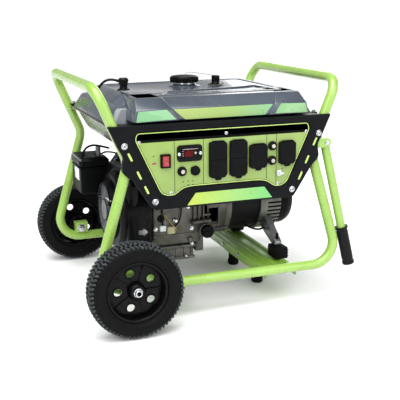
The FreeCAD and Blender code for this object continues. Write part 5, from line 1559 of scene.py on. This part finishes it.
choke_low, choke_high = span("choke_lever")
choke_x = middle("choke_lever").x
lever = [cut(rectangle(choke_x - 4, choke_x + 4, choke_low.z + 4, choke_high.z), 3.4, choke_low.y,
             choke_high.y, soft=0.5)]
lever.append(turned([(0, 0), (7, 0), (7, 3), (0, 3)], 0.6, aim="y", at=(choke_x, choke_low.y,
    choke_low.z + 8), steps=24))
lever.append(block((choke_x - 6, choke_low.y - 1.5, choke_high.z - 12), (choke_x + 6, choke_high.y + 1.5,
                                                                    choke_high.z), soft=2))
piece("choke_lever_moulded", joined(*lever), lid_plastic, BODY_OF["choke_lever"], ["choke_lever"])
print("linkage pieces:", len(control))

# %% Muffler
CAN_LEFT, CAN_RIGHT, CAN_Y, CAN_Z = 48, 262, 140, 392
can_long = CAN_RIGHT - CAN_LEFT
can_line = rounded_profile([(0, 3), (50, 3), (54, 0), (57, 0), (57, 6), (55, 8), (55, can_long - 8),
                            (57, can_long - 6), (57, can_long), (54, can_long), (50, can_long - 3),
                            (0, can_long - 3)], 1.5)
exhaust = [lathe(can_line, aim="x", at=(CAN_LEFT, CAN_Y, CAN_Z), steps=64)]
pipe = [(10, 170, 374), (26, 170, 374), (40, 170, 374), (52, 170, 374)]
exhaust.append(wire(pipe, 12))
tail = [(9.6, 0), (12, 0), (12, 30), (9.6, 30), (9.6, 2), (9.6, 0)]
exhaust.append(lathe(tail, aim="y", at=(232, CAN_Y + 54.5, CAN_Z), steps=36))
exhaust.append(turned([(12, 0), (15, 0), (15, 6), (12, 6)], 1, aim="y", at=(232, CAN_Y + 54.5, CAN_Z),
                      steps=36))
strap = [(55.6, 0), (57.4, 0), (57.4, 10), (55.6, 10), (55.6, 0)]
exhaust += [lathe(strap, aim="x", at=(x, CAN_Y, CAN_Z), steps=64) for x in (92, 206)]
guard_slot = block((-62, -4, 56.6), (62, 4, 58.4), soft=0.7, steps=2)
guard = [moved(copied(guard_slot), (155, CAN_Y, CAN_Z), tilt(turn, "X"))
         for turn in (-40, -20, 0, 20, 40, 60, 80)]
bpy.data.meshes.remove(guard_slot)
piece("muffler_can", joined(*exhaust, *guard), exhaust_black, stands_for=["muffler"])
print("muffler", can_long, "mm long")

# %% [markdown]
# ## Alternator
#
# From the engine outwards: a cast adapter ring with a rectangular window, the black laminated stator, a
# cast end bracket with cooling slots and two legs, and a black cover with a rounded back.

# %% Adapter, stator, end bracket and cover
ADAPTER_LEFT, STATOR_LEFT, STATOR_RIGHT, BRACKET_RIGHT, COVER_RIGHT = 21, 100, 194, 264, 316


def ring_with_window(profile, left, window, steps=96):
    """A turned ring about the crank's axis with the faces inside a window's bounds taken out."""
    ring = lathe(profile, aim="x", at=(left, 0, CRANK_Z), steps=steps)
    bm = bmesh.new()
    bm.from_mesh(ring)
    bpy.data.meshes.remove(ring)
    (x0, x1), (z0, z1) = window
    gone = [face
            for face in bm.faces if all(x0 - 0.1 <= v.co.x <= x1 + 0.1 and z0 <= v.co.z <= z1 and v.co.y < 0
                                        for v in face.verts)]
    bmesh.ops.delete(bm, geom=gone, context="FACES")
    made = bpy.data.meshes.new("ring")
    bm.to_mesh(made)
    bm.free()
    return made


adapter_line = [(93, 0), (101, 0), (101, 4), (101, 35), (101, 60), (99.5, 62), (99.5, 66), (101, 68), (101,
    79), (93, 79), (93, 35), (93, 4), (93, 0)]
adapter = [ring_with_window(adapter_line, ADAPTER_LEFT, ((25, 56), (200, 252)))]
adapter.append(lathe([(25.5, 0), (98, 0), (98, 4), (25.5, 4), (25.5, 0)], aim="x", at=(ADAPTER_LEFT, 0,
    CRANK_Z), steps=64))
adapter.append(lathe([(25.5, 0), (46, 0), (46, 7), (25.5, 7), (25.5, 0)], aim="x", at=(15, 0, CRANK_Z),
                     steps=48))
adapter += [block((24, -101.6, z0), (57, -95, z1), soft=1.2) for z0, z1 in ((252, 256), (196, 200))]
adapter.append(block((21.5, -101.4, 196), (25.5, -93, 256), soft=1.2))
adapter.append(block((55.5, -101.4, 196), (59.5, -93, 256), soft=1.2))
adapter += [moved(block((60, -4, 97), (98, 4, 106), soft=2.5), (0, 0, CRANK_Z),
                  tilt(turn, "X")) for turn in (45, 135, 225, 315)]
# a plain black drum fills the adapter's window: painted shade for the dark inside of the adapter
adapter.append(paint(lathe([(0, 0), (62, 0), (62, 30), (0, 30)], aim="x", at=(28, 0, CRANK_Z), steps=48), 1))
piece("alternator_adapter_casting", joined(*adapter), [cast_aluminium, print_black],
      stands_for=["alternator_adapter"])

stator_line = rounded_profile([(71, 0), (95, 0), (96, 1.5), (96, 92.5), (95, 94), (71, 94)], 1.2)
stator = [lathe(stator_line + [stator_line[0]], aim="x", at=(STATOR_LEFT, 0, CRANK_Z), steps=96)]
stator += [moved(block((STATOR_LEFT + 1, -3.5, 94), (STATOR_RIGHT - 1, 3.5, 97.6), soft=1.2), (0, 0, CRANK_Z),
                 tilt(turn, "X")) for turn in (45, 135, 225, 315)]
piece("stator_core", joined(*stator), lamination, stands_for=["stator"])

SLOT_LOW, SLOT_PITCH, SLOT_TALL, SLOT_COUNT = -68, 12.5, 6, 6
slot_floors = [CRANK_Z + SLOT_LOW + i * SLOT_PITCH for i in range(SLOT_COUNT)]
bracket_line = rounded_profile([(93, 0), (101, 0), (101, 62), (97, 70), (20, 70), (20, 64), (90, 64), (93,
    60)], 3)
bracket = [lathe(bracket_line + [bracket_line[0]], aim="x", at=(STATOR_RIGHT, 0, CRANK_Z), steps=96)]
# the cooling slots are black blocks on the bracket's side, not openings: painted shade in the slots
for z in slot_floors:
    reach = math.sqrt(101 ** 2 - (z + 3 - CRANK_Z) ** 2)
    for side in (-1, 1):
        low = min(side * (reach - 9), side * (reach + 1.2))
        bracket.append(paint(block((STATOR_RIGHT + 24, low, z), (BRACKET_RIGHT - 3, low + 10.2,
                                                                 z + SLOT_TALL), soft=1.6), 1))
bracket.append(lathe([(99, 0), (102, 0), (102, 6), (99, 6), (99, 0)], aim="x", at=(STATOR_RIGHT + 1, 0,
    CRANK_Z), steps=96))
MOUNT_X, MOUNT_Y, MOUNT_TOP = 222, 163, 132
for side in (-1, 1):
    leg = [(side * 58, CRANK_Z - 84), (side * 88, CRANK_Z - 42), (side * (MOUNT_Y + 4), MOUNT_TOP + 12),
           (side * (MOUNT_Y + 4), MOUNT_TOP), (side * (MOUNT_Y - 24), MOUNT_TOP)]
    bracket.append(paint(cut(leg, 5, MOUNT_X - 10, MOUNT_X + 10, soft=1.6, plane="yz"), 4))
    rib = [(side * 78, CRANK_Z - 66), (side * 92, CRANK_Z - 44), (side * (MOUNT_Y + 2), MOUNT_TOP + 16),
           (side * (MOUNT_Y - 8), MOUNT_TOP + 4)]
    bracket.append(paint(cut(rib, 4, MOUNT_X - 13, MOUNT_X - 9, soft=1.0, plane="yz"), 4))
    bracket.append(paint(hex_bolt(6.5, 8, (MOUNT_X, side * (MOUNT_Y - 6), MOUNT_TOP + 8), "z"), 2))
    bracket.append(turned([(0, 0), (4, 0), (4, 20), (3, 22), (0, 22)], 1, at=(MOUNT_X, side * (MOUNT_Y - 6),
        MOUNT_TOP + 14), steps=20, number=3))
for turn in (45, 135, 225, 315):
    y, z = 99 * math.cos(math.radians(turn)), CRANK_Z + 99 * math.sin(math.radians(turn))
    bracket.append(block((STATOR_RIGHT, y - 7, z - 7), (STATOR_RIGHT + 22, y + 7, z + 7), soft=3))
piece("alternator_end_bracket_casting", joined(*bracket), [cast_bracket, print_black, zinc_steel,
                                                           lid_plastic, cast_pale],
      stands_for=["alternator_end_bracket"])

cover_line = rounded_profile([(86, 0), (90, 0), (92, 26), (84, 44), (66, 52), (0, 52), (0, 49), (64, 49),
                              (80, 42), (88, 24)], 5, 5)
cover = [lathe(cover_line + [cover_line[0]], aim="x", at=(BRACKET_RIGHT, 0, CRANK_Z), steps=80)]
# the vents are thin black strips on the cover's back, not openings: painted shade in the vents
vent = block((51.2, -2.2, 24), (52.6, 2.2, 62), soft=0.6, steps=2)
vent_shade_strips = [moved(copied(vent), (BRACKET_RIGHT, 0, CRANK_Z), tilt(turn, "X"))
                for turn in range(0, 360, 20)]
bpy.data.meshes.remove(vent)
cover += [paint(v, 1) for v in vent_shade_strips]
piece("alternator_cover_moulded", joined(*cover), [lid_plastic, print_black],
      stands_for=["alternator_end_cover"])
lead = wire([(150, -70, 184), (170, -88, 166), (196, -92, 160), (214, -80, 168)], 3.0)
piece("alternator_lead", lead, lid_plastic)
print("alternator from", ADAPTER_LEFT, "to", COVER_RIGHT, "mm")

# %% [markdown]
# ## Frame fittings
#
# The tubes themselves stay as packed. What is added: the pressed ribs on the alternator's crossmember, the
# rubber mounts and feet, the ribbed hand grips, and the bolts the wheels and handles turn on.

# %% Crossmembers
BEAM_TOP, BEAM_LOW, RAIL_INNER = 97, 69, 261
BEAM_WALL = 3
beam_low, beam_high = span("alternator_crossmember")
left, right = beam_low.x, beam_high.x


def channel(left, right, ribs, soft=0.9):
    """A pressed channel's section in XZ, from its outer skin and back along its inner one."""
    outer = [(left, BEAM_LOW), (left, BEAM_TOP - 4), (left + 4, BEAM_TOP)]
    for at, wide, drop in ribs:
        outer += [(at, BEAM_TOP), (at + 2, BEAM_TOP - drop), (at + wide - 2, BEAM_TOP - drop), (at + wide,
            BEAM_TOP)]
    outer += [(right - 4, BEAM_TOP), (right, BEAM_TOP - 4), (right, BEAM_LOW)]
    inner = []
    for x, z in reversed(outer):
        shift = BEAM_WALL if x < (left + right) / 2 else -BEAM_WALL
        inner.append((x + shift if x in (left, right) else x, z if z == BEAM_LOW else z - BEAM_WALL))
    inner = [(min(max(x, left + BEAM_WALL), right - BEAM_WALL), z) for x, z in inner]
    return rounded_loop(outer + inner, soft, steps=2)


def beam(section):
    """A channel section run from rail to rail."""
    return plate([section], -RAIL_INNER, RAIL_INNER, soft=0.3, steps=1)


ribs = [(left + 14, 10, 3.5), (left + 32, 10, 3.5), (left + 56, 26, 6)]
stand = [beam(channel(left, right, ribs))]
LEG_HALF, LEG_WIDE, LEG_LOW = 112, 46, 45
beam_x = (left + right) / 2
leg = [(beam_x - LEG_WIDE / 2, BEAM_TOP - 8), (beam_x - LEG_WIDE / 2, LEG_LOW), (beam_x + LEG_WIDE / 2,
    LEG_LOW), (beam_x + LEG_WIDE / 2, BEAM_TOP - 8), (beam_x + LEG_WIDE / 2 - 3, BEAM_TOP - 8),
       (beam_x + LEG_WIDE / 2 - 3, LEG_LOW + 3), (beam_x - LEG_WIDE / 2 + 3, LEG_LOW + 3),
       (beam_x - LEG_WIDE / 2 + 3, BEAM_TOP - 8)]
stand.append(plate([rounded_loop(leg, 1.2, steps=3)], -LEG_HALF, LEG_HALF, soft=0.3, steps=1))
stand += [paint(hex_bolt(5, 5, (left - 0.6, y, 83), "-x"), 1) for y in (-60, -200, 60, 200)]
piece("alternator_beam_pressed", joined(*stand), [lime_shadow, zinc_steel],
      stands_for=["alternator_crossmember"])
engine_low, engine_high = span("engine_crossmember")
engine_ribs = [(engine_low.x + 16, 12, 3.5), (engine_high.x - 28, 12, 3.5)]
piece("engine_beam_pressed", beam(channel(engine_low.x, engine_high.x, engine_ribs)), lime_shadow,
      stands_for=["engine_crossmember"])
print("crossmembers", round(engine_high.x - engine_low.x), "and", round(right - left), "mm wide")

# %% Rubber mounts and feet
mounts = []
for side in (-1, 1):
    low = (MOUNT_X - 20, side * MOUNT_Y - 29, BEAM_TOP)
    high = (MOUNT_X + 20, side * MOUNT_Y + 29, MOUNT_TOP)
    mounts.append(block(low, high, soft=4, steps=4))
    mounts += [block((low[0] - 0.8, low[1] - 0.8, z), (high[0] + 0.8, high[1] + 0.8, z + 3), soft=1.2)
               for z in (BEAM_TOP + 7, BEAM_TOP + 15, BEAM_TOP + 23)]
    mounts.append(turned([(0, 0), (18, 0), (18, 6), (0, 6)], 1.5, at=(-128, side * 82, BEAM_TOP), steps=36))
piece("rubber_mounts_moulded", joined(*mounts), rubber, stands_for=["rubber_mounts"])
foot_low = span("rubber_feet")[0]
foot_line = rounded_profile([(0, 0), (15, 0), (18, 4), (18, 16), (15.5, 19), (15.5, 45), (0, 45)], 2)
feet = [lathe(foot_line, at=(beam_x, side * 94, 0), steps=40) for side in (-1, 1)]
piece("rubber_feet_moulded", joined(*feet), rubber, stands_for=["rubber_feet"])
print("feet reach down to", round(foot_low.z), "mm")

# %% [markdown]
# The hand grips are slid over the handle tubes: a flared collar above, fine rings along the whole grip and a
# rounded end. Each is drawn upright about its own axis and then leaned with its handle.

# %% Hand grips
HANDLE_LONG, GRIP_LONG = 378, 118
HANDLE_LEAN = tilt(-14.1, "Y")
PIVOT_X, PIVOT_Z = 305.7, 456
grip_line = [(12.5, 4), (12.5, GRIP_LONG), (19, GRIP_LONG), (19, GRIP_LONG - 5), (16, GRIP_LONG - 8)]
ring_z = GRIP_LONG - 12
while ring_z > 16:
    grip_line += [(16, ring_z), (16.9, ring_z - 1.2), (16.9, ring_z - 3.2), (16, ring_z - 4.4)]
    ring_z -= 6
grip_line += [(16, 12), (18, 6), (17, 1), (14, 0), (0, 0)]
for name in ("front", "rear"):
    side = -1 if name == "front" else 1
    handle_grip = lathe(grip_line, steps=36)
    moved(handle_grip, (0, 0, -HANDLE_LONG))
    moved(handle_grip, (PIVOT_X, side * 275, PIVOT_Z), HANDLE_LEAN)
    piece(f"{name}_grip_ribbed", handle_grip, grip_rubber, BODY_OF[f"{name}_handle_grip"],
          [f"{name}_handle_grip"])
print("grip rings:", (len(grip_line) - 10) // 4)

# %% Axles and handle pivots
WHEEL_X, WHEEL_Z, WHEEL_Y, HUB_LONG = -277, 127, 361.5, 56
outer = WHEEL_Y + HUB_LONG / 2
pins = []
for side, aim in ((-1, "-y"), (1, "y")):
    inner_y, outer_y = 275 - 13, outer
    pins.append(paint(lathe([(0, 0), (8, 0), (8, outer_y - inner_y + 2), (0, outer_y - inner_y + 2)], aim=aim,
                            at=(WHEEL_X, side * inner_y, WHEEL_Z), steps=28), 0))
    nut = rounded_profile([(0, 0.5), (12, 0.5), (12, 2), (10, 2.5), (10, 8), (8.5, 10.5), (6, 10.5), (6, 7),
                           (0, 7)], 0.8)
    pins.append(paint(lathe(nut, aim=aim, at=(WHEEL_X, side * outer_y, WHEEL_Z), steps=32), 0))
    # a black disc on the floor of the nut's bore: painted shade inside the bore
    pins.append(paint(lathe([(0, 7.1), (5.8, 7.1), (5.8, 7.8), (0, 7.8)], aim=aim,
                            at=(WHEEL_X, side * outer_y, WHEEL_Z), steps=24), 1))
    pins.append(paint(hex_bolt(11, 8, (WHEEL_X, side * inner_y, WHEEL_Z), "y" if side < 0 else "-y"), 0))
    reach = 20.8
    pins.append(paint(lathe([(0, 0), (5, 0), (5, 2 * reach), (0, 2 * reach)], aim="y",
                            at=(PIVOT_X, side * 275 - reach, PIVOT_Z), steps=20), 0))
    pins.append(paint(hex_bolt(5.5, 6, (PIVOT_X, side * (275 + 15.8), PIVOT_Z), aim), 0))
    pins.append(paint(hex_bolt(6.5, 7, (PIVOT_X, side * (275 - 15.8), PIVOT_Z), "y" if side < 0 else "-y"),
                      0))
piece("axle_and_pivot_bolts", joined(*pins), [zinc_steel, print_black], stands_for=["pivot_bolts"])
print("wheel hubs end at", round(outer), "mm")
